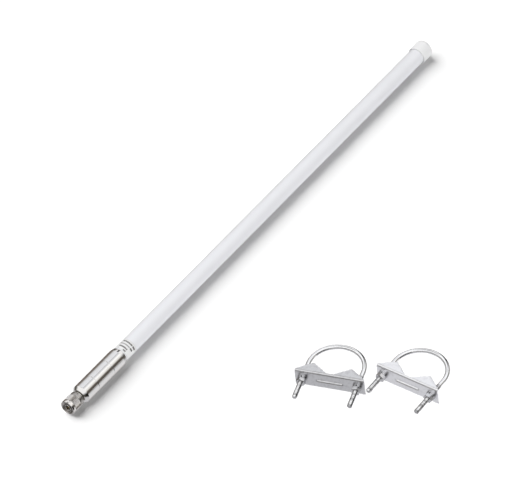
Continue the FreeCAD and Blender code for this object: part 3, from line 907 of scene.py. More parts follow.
@dataclass
class Radiator:
    """The long glass-fibre tube, its end cap, its label and what is inside it.

    Attributes:
        body: the body that all of it rides on.
        wall: thickness of the tube.
        cap_radius: radius of the cap's outer edge.
        cap_lip: radius of the edge round the cap's mouth.
        cap_gap: how far its bore is flared there.
        label_film: thickness of the label.
        label_ease: width of its thin edge.
        label_wrap: angle that the label covers, in degrees.
        label_centre: angle of its middle, in degrees from +Z towards -Y.
        segments: faces round the tube.
    """

    body: str = "antenna"
    wall: float = 2.0
    cap_radius: float = 4.5
    cap_lip: float = 0.45
    cap_gap: float = 0.5
    label_film: float = 0.12
    label_ease: float = 0.12
    label_wrap: float = 250.0
    label_centre: float = 60.0
    segments: int = 144

    def build(self) -> None:
        """Makes and dresses the tube, the cap and the label."""
        start, end = span("radome_tube")
        outer = width_of("radome_tube") / 2
        self.tube(start, end, outer)
        self.cap(end, outer)
        self.label(outer)
        self.inside()

    def tube(self, start: float, end: float, outer: float) -> None:
        """Makes the tube.

        Args:
            start: where it starts along X.
            end: where it ends.
            outer: its outer radius.
        """
        inner = outer - self.wall
        shape = eased([(start, outer), (end, outer), (end, inner), (start, inner)], 0.25)
        item = turned(shape, self.segments).mesh_object("glass_fibre_tube")
        settle(item, self.body, GelCoat().material("gel_coat"), ["radome_tube"])

    def cap(self, tube_end: float, bore: float) -> None:
        """Makes the cup over the tube's end.

        Its rim is a quarter circle: x = end - R + R sin a, radius = outer - R + R cos a.

        Args:
            tube_end: where the tube stops, inside the cap.
            bore: the cap's inner radius.
        """
        start, end = span("end_cap")
        outer = width_of("end_cap") / 2
        a = np.linspace(0.0, math.pi / 2, 19)
        rim = np.stack([end - self.cap_radius + self.cap_radius * np.sin(a),
                        outer - self.cap_radius + self.cap_radius * np.cos(a)], axis=-1)
        b = np.linspace(-math.pi / 2, 0.0, 7)[1:]
        lip = self.cap_lip
        mouth = np.stack([start + lip + lip * np.sin(b), outer - lip + lip * np.cos(b)], axis=-1)
        inside = np.array([(end, 0.0), (tube_end, 0.0), (tube_end, bore),
                           (start + 2 * self.cap_lip, bore), (start, bore + self.cap_gap)])
        shape = np.vstack([mouth, rim, inside])
        item = turned(shape, self.segments).mesh_object("tube_end_cap")
        settle(item, self.body, MouldedPlastic().material("cap_plastic"),
               ["end_cap"])

    def label(self, tube: float) -> None:
        """Makes the sticker: a thin shell from one angle to another, with eased edges.

        Args:
            tube: radius of the tube under it.
        """
        start, end = span("id_label")
        half = math.radians(self.label_wrap / 2)
        centre = math.radians(self.label_centre)
        ease = self.label_ease
        length = end - start
        x = np.array([0.0, ease, 0.4 * length, 0.6 * length, length - ease, length]) + start
        turn = ease / 10
        a = centre + np.concatenate([[-half], np.linspace(-half + turn, half - turn, 90), [half]])
        thin_x = np.where((x == x[0]) | (x == x[-1]), 0.5, 1.0)
        thin_a = np.where((a == a[0]) | (a == a[-1]), 0.5, 1.0)
        rise = self.label_film * np.minimum(thin_x[:, None], thin_a[None, :])
        ring = np.stack([x[:, None] + 0 * a, -np.sin(a)[None] + 0 * x[:, None],
                         np.cos(a)[None] + 0 * x[:, None]], axis=-1)
        outer = ring * np.stack([np.ones_like(rise), tube + rise, tube + rise], axis=-1)
        inner = ring * np.array([1.0, tube + 0.01, tube + 0.01])
        keep = np.ones((len(x) - 1, len(a) - 1), bool)
        item = Skin().shell(outer, inner, keep).mesh_object("wrapped_label", 40.0)
        finish = PrintedVinyl(start=start * MM, length=(end - start) * MM)
        settle(item, self.body, finish.material("printed_vinyl"), ["id_label"])

    def inside(self) -> None:
        """Gives the hidden solids their finishes."""
        finishes = (
            ("bare_copper", TurnedMetal((0.80, 0.46, 0.30), (0.42, 0.22, 0.15), 0.22, 3000.0),
             ("feed_outer", "feed_core", "phasing_coil")),
            ("bare_brass", TurnedMetal((0.80, 0.64, 0.36), (0.48, 0.37, 0.20), 0.20, 3000.0),
             ("decoupling_sleeve", "lower_radiator", "upper_radiator")),
            ("ptfe", SoftSolid((0.86, 0.86, 0.84), (0.80, 0.80, 0.78), 0.35, 700.0, 0.00002, 0.3),
             ("feed_dielectric", "coil_former", "front_insulator")),
            ("foam", SoftSolid((0.80, 0.80, 0.76), (0.66, 0.66, 0.62), 0.85, 1600.0, 0.0003),
             ("tip_pad", "feed_spacer", "lower_spacer", "upper_spacer")),
            ("epoxy", SoftSolid((0.58, 0.50, 0.34), (0.46, 0.38, 0.24), 0.30, 500.0),
             ("ferrule_bond",)),
            ("spring_steel", TurnedMetal((0.60, 0.58, 0.55), (0.36, 0.33, 0.30), 0.25),
             ("nut_retaining_ring",)))
        for name, finish, nodes in finishes:
            material = finish.material(name)
            for node in nodes:
                dress_solid(node, material)


@dataclass
class BaseFerrule:
    """The polished metal cup at the tube's foot, and the sealant in its mouth.

    Attributes:
        body: the body that it rides on.
        nose: diameter of its front face.
        nose_slope: length of the front chamfer.
        mouth: diameter of its rear face.
        mouth_slope: length of the rear chamfer.
        spigot: diameter of the bore for the plug.
        end_wall: thickness of its front wall.
        ledge: length and width of the step that the tube stands on.
        bond: adhesive's thickness round the tube.
        groove: width and depth of the two ring grooves.
        groove_at: where they start, from the ferrule's front.
        groove_slope: how far a groove's sides lean.
        seal: depth of the sealant, and how far its bead stands out.
    """

    body: str = "antenna"
    nose: float = 17.0
    nose_slope: float = 4.1
    mouth: float = 21.0
    mouth_slope: float = 4.8
    spigot: float = 12.0
    end_wall: float = 8.3
    ledge: tuple[float, float] = (2.0, 1.5)
    bond: float = 0.25
    groove: tuple[float, float] = (0.8, 0.3)
    groove_at: tuple[float, float] = (23.2, 51.8)
    groove_slope: float = 0.12
    seal: tuple[float, float] = (2.0, 0.6)

    def build(self) -> None:
        """Makes and dresses the cup and the sealant."""
        start, end = span("base_ferrule")
        outer = width_of("base_ferrule") / 2
        tube = width_of("radome_tube") / 2
        bore = tube + self.bond
        wall_end = start + self.end_wall
        step_end = wall_end + self.ledge[0]
        (width, depth), lean = self.groove, self.groove_slope
        grooves = [corner for at in self.groove_at for corner in (
            (start + at, outer), (start + at + lean, outer - depth),
            (start + at + width - lean, outer - depth), (start + at + width, outer))]
        shape = eased([
            (start, self.spigot / 2), (start, self.nose / 2), (start + self.nose_slope, outer),
            *grooves, (end - self.mouth_slope, outer), (end, self.mouth / 2), (end, bore),
            (step_end, bore), (step_end, tube - self.ledge[1]), (wall_end, tube - self.ledge[1]),
            (wall_end, self.spigot / 2)], 0.22, 4)
        item = turned(shape, 160).mesh_object("polished_ferrule", 20.0)
        settle(item, self.body, TurnedMetal().material("polished_nickel"),
               ["base_ferrule"])
        self.sealant(end, tube, bore)

    def sealant(self, mouth: float, tube: float, bore: float) -> None:
        """Makes the ring of sealant, whose face is a hollow curve from the tube to the mouth.

        Args:
            mouth: where the ferrule ends along X.
            tube: radius of the tube.
            bore: radius of the ferrule's bore.
        """
        depth, bead = self.seal
        t = np.linspace(0.0, 1.0, 9)
        face = np.stack([mouth + bead * (1.0 - t) ** 2, tube + (bore - tube) * t], axis=-1)
        back = np.array([(mouth - depth, bore), (mouth - depth, tube)])
        item = turned(np.vstack([face, back]), 96).mesh_object("sealant_bead")
        finish = SoftSolid((0.78, 0.78, 0.77), (0.70, 0.70, 0.69), 0.35, 800.0, 0.00008)
        settle(item, self.body, finish.material("sealant"), ["ferrule_seal"])


@dataclass
class CoaxPlug:
    """The screw-on coaxial plug: coupling nut, body, outer contact, pin and gaskets.

    Attributes:
        body: the body that the fixed pieces ride on.
        nut_body: the body that the coupling nut rides on.
        lip: length of the nut's plain front ring.
        knurl: length of its knurled band.
        collar_step: how far its collar lies below the ring.
        teeth: number of knurl teeth.
        tooth: depth of the knurl.
        tooth_faces: faces of the nut's surface to one tooth.
        tooth_fade: over what length the teeth rise at the band's ends.
        minor: inner diameter of the nut's thread.
        major: outer diameter of its thread.
        pitch: pitch of its thread.
        thread_end: where the thread stops.
        thread_fade: over what length the thread deepens at both ends.
        relief: diameter and end of the relief behind it.
        rear_bore: diameter of the nut's rear bore.
        bevel: the chamfer at the nut's mouth.
        knee: how far in and how far down the middle of an outer chamfer lies.
        groove: start, end and diameter of the groove for the snap ring.
        flange: start, end and diameter of the body's flange.
        barrel: diameter of the body's barrel.
        ring_groove: start, end and diameter of the barrel's groove.
        neck: start, end and diameter of the body's neck.
        spigot: diameter and end of its spigot.
        seat: bore diameter and end where the outer contact sits.
        feed: start and diameter of the bore for the feed line.
        sleeve: diameter of the outer contact's free end.
        sleeve_wall: wall of the outer contact.
        sleeve_step: where the outer contact gets thicker.
        slot: length and width of its four slots.
        pin: diameters of the pin and its shoulder, where that starts and where its socket starts.
        pin_bore: diameter of the pin's socket.
    """

    body: str = "antenna"
    nut_body: str = "plug_nut"
    lip: float = 4.8
    knurl: float = 9.5
    collar_step: float = 0.4
    teeth: int = 44
    tooth: float = 0.5
    tooth_faces: int = 8
    tooth_fade: float = 0.55
    minor: float = 14.8
    major: float = 15.9
    pitch: float = 1.058
    thread_end: float = 8.0
    thread_fade: float = 0.8
    relief: tuple[float, float] = (15.9, 11.2)
    rear_bore: float = 11.56
    bevel: float = 0.6
    knee: tuple[float, float] = (0.18, 0.22)
    groove: tuple[float, float, float] = (13.2, 15.0, 13.4)
    flange: tuple[float, float, float] = (8.6, 10.6, 13.6)
    barrel: float = 11.4
    ring_groove: tuple[float, float, float] = (13.5, 14.7, 9.8)
    neck: tuple[float, float, float] = (19.3, 20.9, 13.0)
    spigot: tuple[float, float] = (12.0, 33.0)
    seat: tuple[float, float] = (8.4, 12.0)
    feed: tuple[float, float] = (24.0, 3.6)
    sleeve: float = 8.0
    sleeve_wall: float = 0.5
    sleeve_step: float = 7.4
    slot: tuple[float, float] = (5.0, 0.5)
    pin: tuple[float, float, float, float] = (1.6, 3.0, 7.0, 18.0)
    pin_bore: float = 0.92

    def build(self) -> None:
        """Makes and dresses every piece of the plug."""
        nickel = TurnedMetal((0.76, 0.74, 0.71), (0.58, 0.53, 0.47), 0.13, 4200.0, 0.6)
        self.coupling_nut()
        plated = nickel.material("plug_nickel")
        self.housing(plated)
        self.outer_contact(plated)
        self.centre_contact()
        self.gaskets()

    def coupling_nut(self) -> None:
        """Makes the nut as one closed surface round X.

        Outside, the knurl's radius is root + depth times a rounded triangle wave of the angle,
        faded at both ends of the band. Inside, the thread's radius is minor + depth times the
        thread form of x / pitch - angle in turns, faded at both ends.
        """
        start, end = span("coupling_nut")
        crest, bore = width_of("coupling_nut") / 2, self.minor / 2
        root = crest - self.tooth
        mouth = start + self.bevel
        lip_end, band_end = start + self.lip, start + self.lip + self.knurl
        x_band = np.concatenate([[lip_end + 0.02], np.linspace(lip_end + 0.05, lip_end + 0.6, 5),
                                 np.linspace(band_end - 0.6, band_end - 0.05, 5)])
        x_thread = np.arange(self.thread_end - 0.02, mouth, -self.pitch / THREAD_ROWS)
        parts = [self.nut_lip(start, crest),
                 np.stack([x_band, np.full_like(x_band, root)], axis=-1),
                 self.nut_collar(band_end, end, crest - self.collar_step),
                 np.stack([x_thread, np.full_like(x_thread, bore)], axis=-1), [(mouth, bore)]]
        ends = np.cumsum([len(part) for part in parts])
        band, thread = slice(ends[0], ends[1]), slice(ends[2], ends[3])
        profile = np.vstack(parts)
        angles = around(self.teeth * self.tooth_faces)
        points = lathe(profile, angles)
        radius = np.repeat(profile[:, 1, None], len(angles), axis=1)
        wave = 1.0 - np.abs(2.0 * ((angles * self.teeth / TAU) % 1.0) - 1.0)
        inward = np.minimum(x_band - lip_end, band_end - x_band)
        fade = smooth_step(inward / self.tooth_fade)
        radius[band] = root + self.tooth * smooth_step(wave)[None, :] * fade[:, None]
        turns = x_thread[:, None] / self.pitch - angles[None, :] / TAU
        inward = np.minimum(x_thread - start - self.bevel, self.thread_end - x_thread)
        fade = smooth_step(inward / self.thread_fade)
        depth = (self.major - self.minor) / 2
        radius[thread] = bore + depth * (1 - thread_form(turns)) * fade[:, None]
        points[..., 1] = -radius * np.sin(angles)[None, :]
        points[..., 2] = radius * np.cos(angles)[None, :]
        item = Skin().grid(points, True, True).mesh_object("knurled_coupling_nut", 34.0)
        finish = KnurledNickel(crest=crest * MM, root=root * MM)
        settle(item, self.nut_body, finish.material("knurled_nickel"),
               ["coupling_nut"])

    def nut_lip(self, start: float, crest: float) -> FloatArray:
        """Gives the outline of the nut's plain front ring, from its bore to the knurl.

        Args:
            start: where the nut starts along X.
            crest: radius of the ring.

        Returns:
            The corners, as x and radius.
        """
        end, (along, down), ease = start + self.lip, self.knee, 0.35
        return np.array([
            (start, self.minor / 2 + self.bevel + 0.1), (start, crest - self.bevel),
            (start + along, crest - down), (start + self.bevel, crest), (end - ease, crest),
            (end - 0.1, crest - 0.1), (end, crest - ease)])

    def nut_collar(self, start: float, end: float, collar: float) -> FloatArray:
        """Gives the outline of the nut's collar and of its bores, from the knurl to the thread.

        Args:
            start: where the knurl ends along X.
            end: where the nut ends.
            collar: radius of the collar.

        Returns:
            The corners, as x and radius.
        """
        (along, down), rear = self.knee, self.rear_bore / 2
        groove_start, groove_end, groove = self.groove
        relief, relief_end = self.relief
        return np.array([
            (start, collar - 0.25), (start + 0.12, collar - 0.05), (start + 0.3, collar),
            (end - self.bevel, collar), (end - along, collar - down), (end, collar - self.bevel),
            (end, rear), (groove_end, rear), (groove_end, groove / 2), (groove_start, groove / 2),
            (groove_start, rear), (relief_end, rear), (relief_end, relief / 2),
            (self.thread_end, relief / 2)])

    def housing(self, plated: bpy.types.Material) -> None:
        """Makes the plug's body, turned about X.

        Args:
            plated: its finish.
        """
        (f0, f1, fd), (r0, r1, rd), (n0, n1, nd) = self.flange, self.ring_groove, self.neck
        inner = (width_of("contact_sleeve") / 2 - (self.seat[0] - self.sleeve) / 2
                 - self.sleeve_wall)
        shape = eased([
            (f0, self.seat[0] / 2), (f0, fd / 2), (f1, fd / 2), (f1, self.barrel / 2),
            (r0, self.barrel / 2), (r0, rd / 2), (r1, rd / 2), (r1, self.barrel / 2),
            (n0, self.barrel / 2), (n0, nd / 2), (n1, nd / 2), (n1, self.spigot[0] / 2),
            (self.spigot[1], self.spigot[0] / 2), (self.spigot[1], self.feed[1] / 2),
            (self.feed[0], self.feed[1] / 2), (self.feed[0], inner), (self.seat[1], inner),
            (self.seat[1], self.seat[0] / 2)], 0.15)
        item = turned(shape, 96).mesh_object("plug_housing", 28.0)
        settle(item, self.body, plated, ["connector_body"])

    def outer_contact(self, plated: bpy.types.Material) -> None:
        """Makes the slotted sleeve: two round grids, with the cells of four slots left out.

        Args:
            plated: its finish.
        """
        start, end = span("contact_sleeve")
        seat = width_of("contact_sleeve") / 2
        free = seat - (self.seat[0] - self.sleeve) / 2
        bore = free - self.sleeve_wall
        half = math.asin(self.slot[1] / 2 / free)
        steps = 13
        quarter = np.concatenate([[-half], np.linspace(half, math.pi / 2 - half, steps)[:-1]])
        angles = (math.pi / 4 + quarter[None, :] + (np.arange(4) * math.pi / 2)[:, None]).ravel()
        x = np.array([start, start + 0.12, start + 1.5, start + 3.2, start + self.slot[0],
                      self.sleeve_step - 0.01, self.sleeve_step, 9.0, end])
        outer_r = np.where(x >= self.sleeve_step, seat, free)
        outer_r[0] -= 0.12
        keep = np.ones((len(x) - 1, len(angles)), bool)
        keep[:4, ::steps] = False
        outer = lathe(np.stack([x, outer_r], axis=-1), angles)
        inner = lathe(np.stack([x, np.full_like(x, bore)], axis=-1), angles)
        item = Skin().shell(outer, inner, keep, wrap_cols=True).mesh_object("slotted_contact", 30.0)
        settle(item, self.body, plated, ["contact_sleeve"])

    def centre_contact(self) -> None:
        """Makes the pin, whose tip is a dome: x = tip + r (1 - cos a) and radius = r sin a."""
        start, end = span("centre_pin")
        thin, thick, shoulder, socket = self.pin
        a = np.linspace(0.0, math.pi / 2, 9)
        tip = np.stack([start + thin / 2 * (1 - np.cos(a)), thin / 2 * np.sin(a)], axis=-1)
        rest = np.array([(shoulder, thin / 2), (shoulder, thick / 2 - 0.15),
                         (shoulder + 0.15, thick / 2), (end, thick / 2), (end, self.pin_bore / 2),
                         (socket, self.pin_bore / 2), (socket, 0.0)])
        item = turned(np.vstack([tip, rest]), 40).mesh_object("gold_pin", 30.0)
        finish = TurnedMetal((0.90, 0.70, 0.34), (0.70, 0.52, 0.24), 0.12, 6000.0, 0.3)
        settle(item, self.body, finish.material("gold_plate"), ["centre_pin"])

    def gaskets(self) -> None:
        """Makes both rubber gaskets, turned about X."""
        skin = SoftSolid((0.060, 0.055, 0.038), (0.042, 0.040, 0.030), 0.55, 1200.0)
        rubber = skin.material("dark_rubber")
        for node, name, bore in (("connector_gasket", "front_gasket", self.seat[0] / 2),
                                 ("body_gasket", "rear_gasket", self.spigot[0] / 2)):
            start, end = span(node)
            outer = width_of(node) / 2
            shape = eased([(start, bore), (start, outer), (end, outer), (end, bore)], 0.25, 4)
            settle(turned(shape, 80).mesh_object(name), self.body, rubber, [node])


@dataclass
class MastClamp:
    """One U-bolt clamp: bent rod with rolled threads, stamped saddle, washers and nuts.

    Its own frame has x across the clamp, y from the saddle's plate towards the ring and z up.

    Attributes:
        side: which of the two clamps it is.
        nut_turns: how far nuts a and b are turned, in degrees.
        sheet_bright: colour of the saddle's clean plate.
        sheet_grey: colour of its dull patches.
        leg_reach: how far the legs stand out in front of the plate.
        ring_centre: how far the ring's centre is behind it.
        shank: diameter of the plain rod.
        thread: outer diameter of the rolled thread.
        core: inner diameter of the thread.
        pitch: its pitch.
        thread_length: its length from the leg's end.
        nose: chamfer at the leg's end.
        end: from a leg's axis to the saddle's end.
        height: the saddle's height.
        sheet: thickness of its sheet.
        bend: outer radius of its folds.
        flange_end: depth of the flanges at the saddle's ends.
        peak: place and depth of the jaws' peaks.
        floor: place and depth of the notch's floor.
        teeth: teeth on each side of the notch.
        tooth_shares: shares of a tooth's width and height that its steep side takes.
        hole: diameter of the leg holes.
        rib: length, radius, setback and height of the pressed rib.
        rib_foot: how softly the rib meets the plate.
        rib_hollow: how deep the rib's back is pressed in.
        ease: radius of the sheet's cut edges.
        cells: columns of the saddle's grid from one leg's axis to the other's.
        end_cells: columns past a leg's axis.
        hole_cells: cells from a hole's centre to its edge, and to where the grid is even again.
        plate_rows: rows of the grid over the flat plate.
        washer: diameter and thickness of the flat washers.
        spring: diameter, thickness and slit of the spring washers.
        washer_bore: diameter of the washers' holes.
        hex_flats: size of the nuts across flats.
        hex_height: their height.
        hex_chamfer: height of their chamfers.
        hex_bore: diameter of their holes.
    """

    side: Side
    nut_turns: tuple[float, float]
    sheet_bright: Colour = (0.80, 0.80, 0.825)
    sheet_grey: Colour = (0.68, 0.68, 0.71)
    leg_reach: float = 31.65
    ring_centre: float = 24.2
    shank: float = 5.3
    thread: float = 5.9
    core: float = 4.95
    pitch: float = 1.0
    thread_length: float = 48.0
    nose: float = 0.8
    end: float = 8.65
    height: float = 23.8
    sheet: float = 2.0
    bend: float = 3.0
    flange_end: float = 2.4
    peak: tuple[float, float] = (23.0, 15.3)
    floor: tuple[float, float] = (5.0, 2.7)
    teeth: int = 5
    tooth_shares: tuple[float, float] = (0.2, 0.62)
    hole: float = 7.0
    rib: tuple[float, float, float, float] = (33.0, 2.8, 1.2, -1.5)
    rib_foot: float = 0.3
    rib_hollow: float = 2.1
    ease: float = 0.5
    cells: int = 184
    end_cells: int = 22
    hole_cells: tuple[float, float] = (8.0, 15.0)
    plate_rows: int = 51
    washer: tuple[float, float] = (12.0, 1.6)
    spring: tuple[float, float, float] = (10.9, 1.6, 1.0)
    washer_bore: float = 6.4
    hex_flats: float = 10.0
    hex_height: float = 5.0
    hex_chamfer: float = 0.5
    hex_bore: float = 6.0

    def __post_init__(self) -> None:
        """Reads the clamp's place from the joints of its nuts."""
        joints = {joint["name"]: joint for joint in frame["joints"]}
        name = self.side.value
        a = np.array(joints[name + "_nut_a_turn"]["pos_m"]) / MM
        b = np.array(joints[name + "_nut_b_turn"]["pos_m"]) / MM
        self.origin = (a + b) / 2
        self.spacing = float(np.linalg.norm(b - a))
        self.x_axis = (b - a) / self.spacing
        self.y_axis = np.array(joints[name + "_jaw_slide"]["axis"], float)
        self.y_axis /= np.linalg.norm(self.y_axis)
        self.turn = math.atan2(self.x_axis[1], self.x_axis[0])

    def in_frame(self, points: FloatArray) -> FloatArray:
        """Takes points from the clamp's own frame to the model's.

        Args:
            points: any array whose last axis is x, y, z.

        Returns:
            The points as an array of the same shape.
        """
        z_axis = np.array([0.0, 0.0, 1.0])
        return (self.origin + points[..., 0, None] * self.x_axis
                + points[..., 1, None] * self.y_axis + points[..., 2, None] * z_axis)

    def zinc(self, **values: Any) -> ZincPlate:
        """Gives a zinc finish whose grain is laid along this clamp."""
        return ZincPlate(centre=tuple(self.origin * MM), turn=self.turn, **values)

    def build(self) -> None:
        """Makes and dresses every piece of the clamp."""
        name = self.side.value
        rod = self.zinc(bright=(0.93, 0.93, 0.94), grey=(0.62, 0.62, 0.64), rough=0.06, patchy=0.35,
                        grain=0.06, coarse=120.0, threads=0.42)
        sheet = self.zinc(bright=self.sheet_bright, grey=self.sheet_grey, rough=0.22,
                          patchy=0.55, grain=0.16, depth=0.00002, coarse=280.0)
        small = self.zinc(bright=(0.72, 0.72, 0.735), grey=(0.44, 0.44, 0.455), rough=0.16,
                          patchy=0.7, coarse=260.0)
        self.put(self.rod(), "bent_rod", "_bolt", "zinc_rod", rod.material(name + "_zinc_rod"),
                 ["_u_bolt"])
        self.put(self.saddle(), "stamped_saddle", "_jaw", "zinc_sheet",
                 sheet.material(name + "_zinc_sheet"), ["_saddle"], 24.0)
        hardware = small.material(name + "_zinc_hardware")
        self.put(self.flat_washers(), "flat_washer_pair", "_jaw", "zinc_hardware", hardware,
                 ["_flat_washers"])
        self.put(self.spring_washers(), "spring_washer_pair", "_jaw", "zinc_hardware", hardware,
                 ["_spring_washers"])
        for leg, turn, letter in ((Leg.A, self.nut_turns[0], "a"), (Leg.B, self.nut_turns[1], "b")):
            self.put(self.hex_nut(leg, turn), "chamfered_nut_" + letter, "_hex_" + letter,
                     "zinc_hardware", hardware, ["_nut_" + letter], 26.0)

    def put(self, skin: Skin, name: str, body: str, slot: str, finish: bpy.types.Material,
            nodes: Iterable[str], sharp: float = 32.0) -> None:
        """Sets one piece down in the model's frame.

        Args:
            skin: its surfaces in the clamp's own frame.
            name: its name, without the side.
            body: the end of its body's name.
            slot: not used.
            finish: its material.
            nodes: the ends of the names of the solids that it stands for.
            sharp: the angle past which its edges are creases, in degrees.
        """
        side = self.side.value
        item = skin.moved(self.in_frame).mesh_object(f"{side}_{name}", sharp)
        settle(item, side + body, finish, [side + node for node in nodes])

    def rod(self) -> Skin:
        """Makes the U-bolt as one tube from leg end to leg end.

        The path is a leg, a half circle and a leg. At distance u from a leg's end the radius is
        core + depth times the thread form of u / pitch - angle in turns. A cone limits it at the
        nose, and it runs out into the shank's radius over the thread's last two pitches.

        Returns:
            The rod's skin.
        """
        half, reach = self.spacing / 2, self.leg_reach
        leg_length = reach + self.ring_centre
        threaded = np.arange(0.06, self.thread_length, self.pitch / THREAD_ROWS)
        plain = np.linspace(self.thread_length + 0.2, leg_length, 8)
        u = np.concatenate([[0.0, 0.0], threaded, plain])
        a = np.linspace(0.0, math.pi, 91)[1:-1]
        angle = around(30)
        depth = (self.thread - self.core) / 2
        turns = u[:, None] / self.pitch - angle[None, :] / TAU
        rolled = self.core / 2 + depth * thread_form(turns)
        cone = self.thread / 2 - self.nose + u[:, None]
        rolled = np.minimum(rolled, cone)
        out = smooth_step((u - self.thread_length + 2 * self.pitch) / (2 * self.pitch))[:, None]
        radius = rolled * (1 - out) + self.shank / 2 * out
        radius[0] = 0.0
        straight = np.zeros_like(u)
        path = np.concatenate([
            np.stack([straight - half, u - reach, straight], axis=-1),
            np.stack([-half * np.cos(a), self.ring_centre + half * np.sin(a), 0 * a], axis=-1),
            np.stack([straight + half, u[::-1] - reach, straight], axis=-1)])
        ahead = np.concatenate([
            np.stack([straight, straight + 1.0], axis=-1),
            np.stack([np.sin(a), np.cos(a)], axis=-1),
            np.stack([straight, straight - 1.0], axis=-1)])
        ring = np.full((len(a), len(angle)), self.shank / 2)
        mirrored = np.minimum(self.core / 2 + depth * thread_form(-turns), cone)
        mirrored = mirrored * (1 - out) + self.shank / 2 * out
        mirrored[0] = 0.0
        radius = np.concatenate([radius, ring, mirrored[::-1]])
        inward = np.stack([ahead[:, 1], -ahead[:, 0], 0 * ahead[:, 0]], axis=-1)
        down = np.array([0.0, 0.0, -1.0])
        away = (np.cos(angle)[None, :, None] * inward[:, None]
                + np.sin(angle)[None, :, None] * down)
        return Skin().grid(path[:, None] + radius[..., None] * away, wrap_cols=True)

    def jaw_depth(self, x: FloatArray) -> FloatArray:
        """Gives the depth of the flanges: notch floor, teeth, peak and slanted end.

        Args:
            x: places across the clamp.

        Returns:
            The depth at each of them, straight from corner to corner.
        """
        width = (self.peak[0] - self.floor[0]) / self.teeth
        rise = (self.peak[1] - self.floor[1]) / self.teeth
        step = np.arange(self.teeth)
        steep = np.stack([self.floor[0] + (step + self.tooth_shares[0]) * width,
                          self.floor[1] + (step + self.tooth_shares[1]) * rise], axis=-1)
        slow = np.stack([self.floor[0] + (step + 1) * width,
                         self.floor[1] + (step + 1) * rise], axis=-1)
        corners = np.concatenate([[(0.0, self.floor[1]), self.floor],
                                  np.stack([steep, slow], axis=1).reshape(-1, 2),
                                  [(self.spacing / 2 + self.end, self.flange_end)]])
        return np.interp(np.abs(x), corners[:, 0], corners[:, 1])

    def columns(self) -> FloatArray:
        """Gives the x of each column of the saddle's grid.

        They are evenly spaced, so that a leg hole's centre is one of them, with the teeth's
        corners and the eased ends between them.

        Returns:
            The places in order.
        """
        half = self.spacing / 2
        step = self.spacing / self.cells
        even = half + np.arange(-self.cells - self.end_cells, self.end_cells + 1) * step
        width = (self.peak[0] - self.floor[0]) / self.teeth
        corners = self.floor[0] + np.arange(self.teeth + 1) * width
        corners = np.concatenate([corners, corners[:-1] + self.tooth_shares[0] * width])
        edge = half + self.end
        ends = edge - self.ease * np.array([1.0, 0.3, 0.0])
        free = np.abs(even[:, None] - np.concatenate([corners, -corners])[None]).min(axis=1) > 0.1
        return np.sort(np.concatenate([even[free], corners, -corners, ends, -ends]))

    def saddle(self) -> Skin:
        """Makes the folded sheet as a wall between two grids over x and the way round its section.

        A grid's row is at a depth y. On a flange or a fold of radius R its height is
        h + sqrt(R^2 - max(bend - y, 0)^2), where h is half of the flat plate's height. On the plate
        the rib lowers y, and the grid is drawn outward round each leg hole.

        Returns:
            The saddle's skin.
        """
        x = self.columns()
        half = self.spacing / 2 + self.end
        into = np.clip((np.abs(x) - (half - self.ease)) / self.ease, 0.0, 1.0)
        inset = self.ease * (1.0 - np.sqrt(1.0 - into ** 2))
        flat = self.height / 2 - self.bend
        plate_z = np.linspace(-flat, flat, self.plate_rows)
        grids = []
        for outside in (True, False):
            fold = self.bend - inset if outside else self.bend - self.sheet + inset
            tip = self.jaw_depth(x) - inset
            body = tip - self.ease
            stop = np.arccos(np.clip((self.bend - body) / fold, 0.0, 1.0))
            arc = self.bend - fold * np.cos(stop * np.linspace(0.0, 1.0, 9)[1:, None])
            run = np.minimum(self.bend, body)
            run = run + (body - run) * np.linspace(0.0, 1.0, 7)[1:, None]
            phi = np.radians([30.0, 60.0, 90.0])[:, None]
            lip = tip - self.ease * (1.0 - np.sin(phi))
            y = np.concatenate([arc, run, lip])
            before = np.zeros((len(arc) + len(run), 1))
            eased_off = np.concatenate([before, self.ease * (1 - np.cos(phi))])
            fold_now = fold - eased_off if outside else fold + eased_off
            z = flat + np.sqrt(np.maximum(fold_now ** 2 - np.maximum(self.bend - y, 0.0) ** 2, 0.0))
            wing = np.stack([np.broadcast_to(x, y.shape), y, z], axis=-1)
            face = inset if outside else self.sheet - inset
            plate = np.stack(np.broadcast_arrays(x[None], face[None], plate_z[:, None]), axis=-1)
            plate = self.around_holes(self.with_rib(plate, outside))
            low = wing[::-1] * np.array([1.0, 1.0, -1.0])
            grids.append(np.concatenate([low, plate, wing]))
        keep = np.ones((grids[0].shape[0] - 1, grids[0].shape[1] - 1), bool)
        middle_x = (x[1:] + x[:-1]) / 2
        middle_z = (plate_z[1:] + plate_z[:-1]) / 2
        reach = self.spacing / self.cells * self.hole_cells[0]
        cut_x = np.abs(np.abs(middle_x) - self.spacing / 2) < reach
        cut_z = np.abs(middle_z) < reach
        first = (len(grids[0]) - self.plate_rows) // 2
        keep[first:first + self.plate_rows - 1] &= ~(cut_z[:, None] & cut_x[None, :])
        return Skin().shell(grids[0], grids[1], keep)

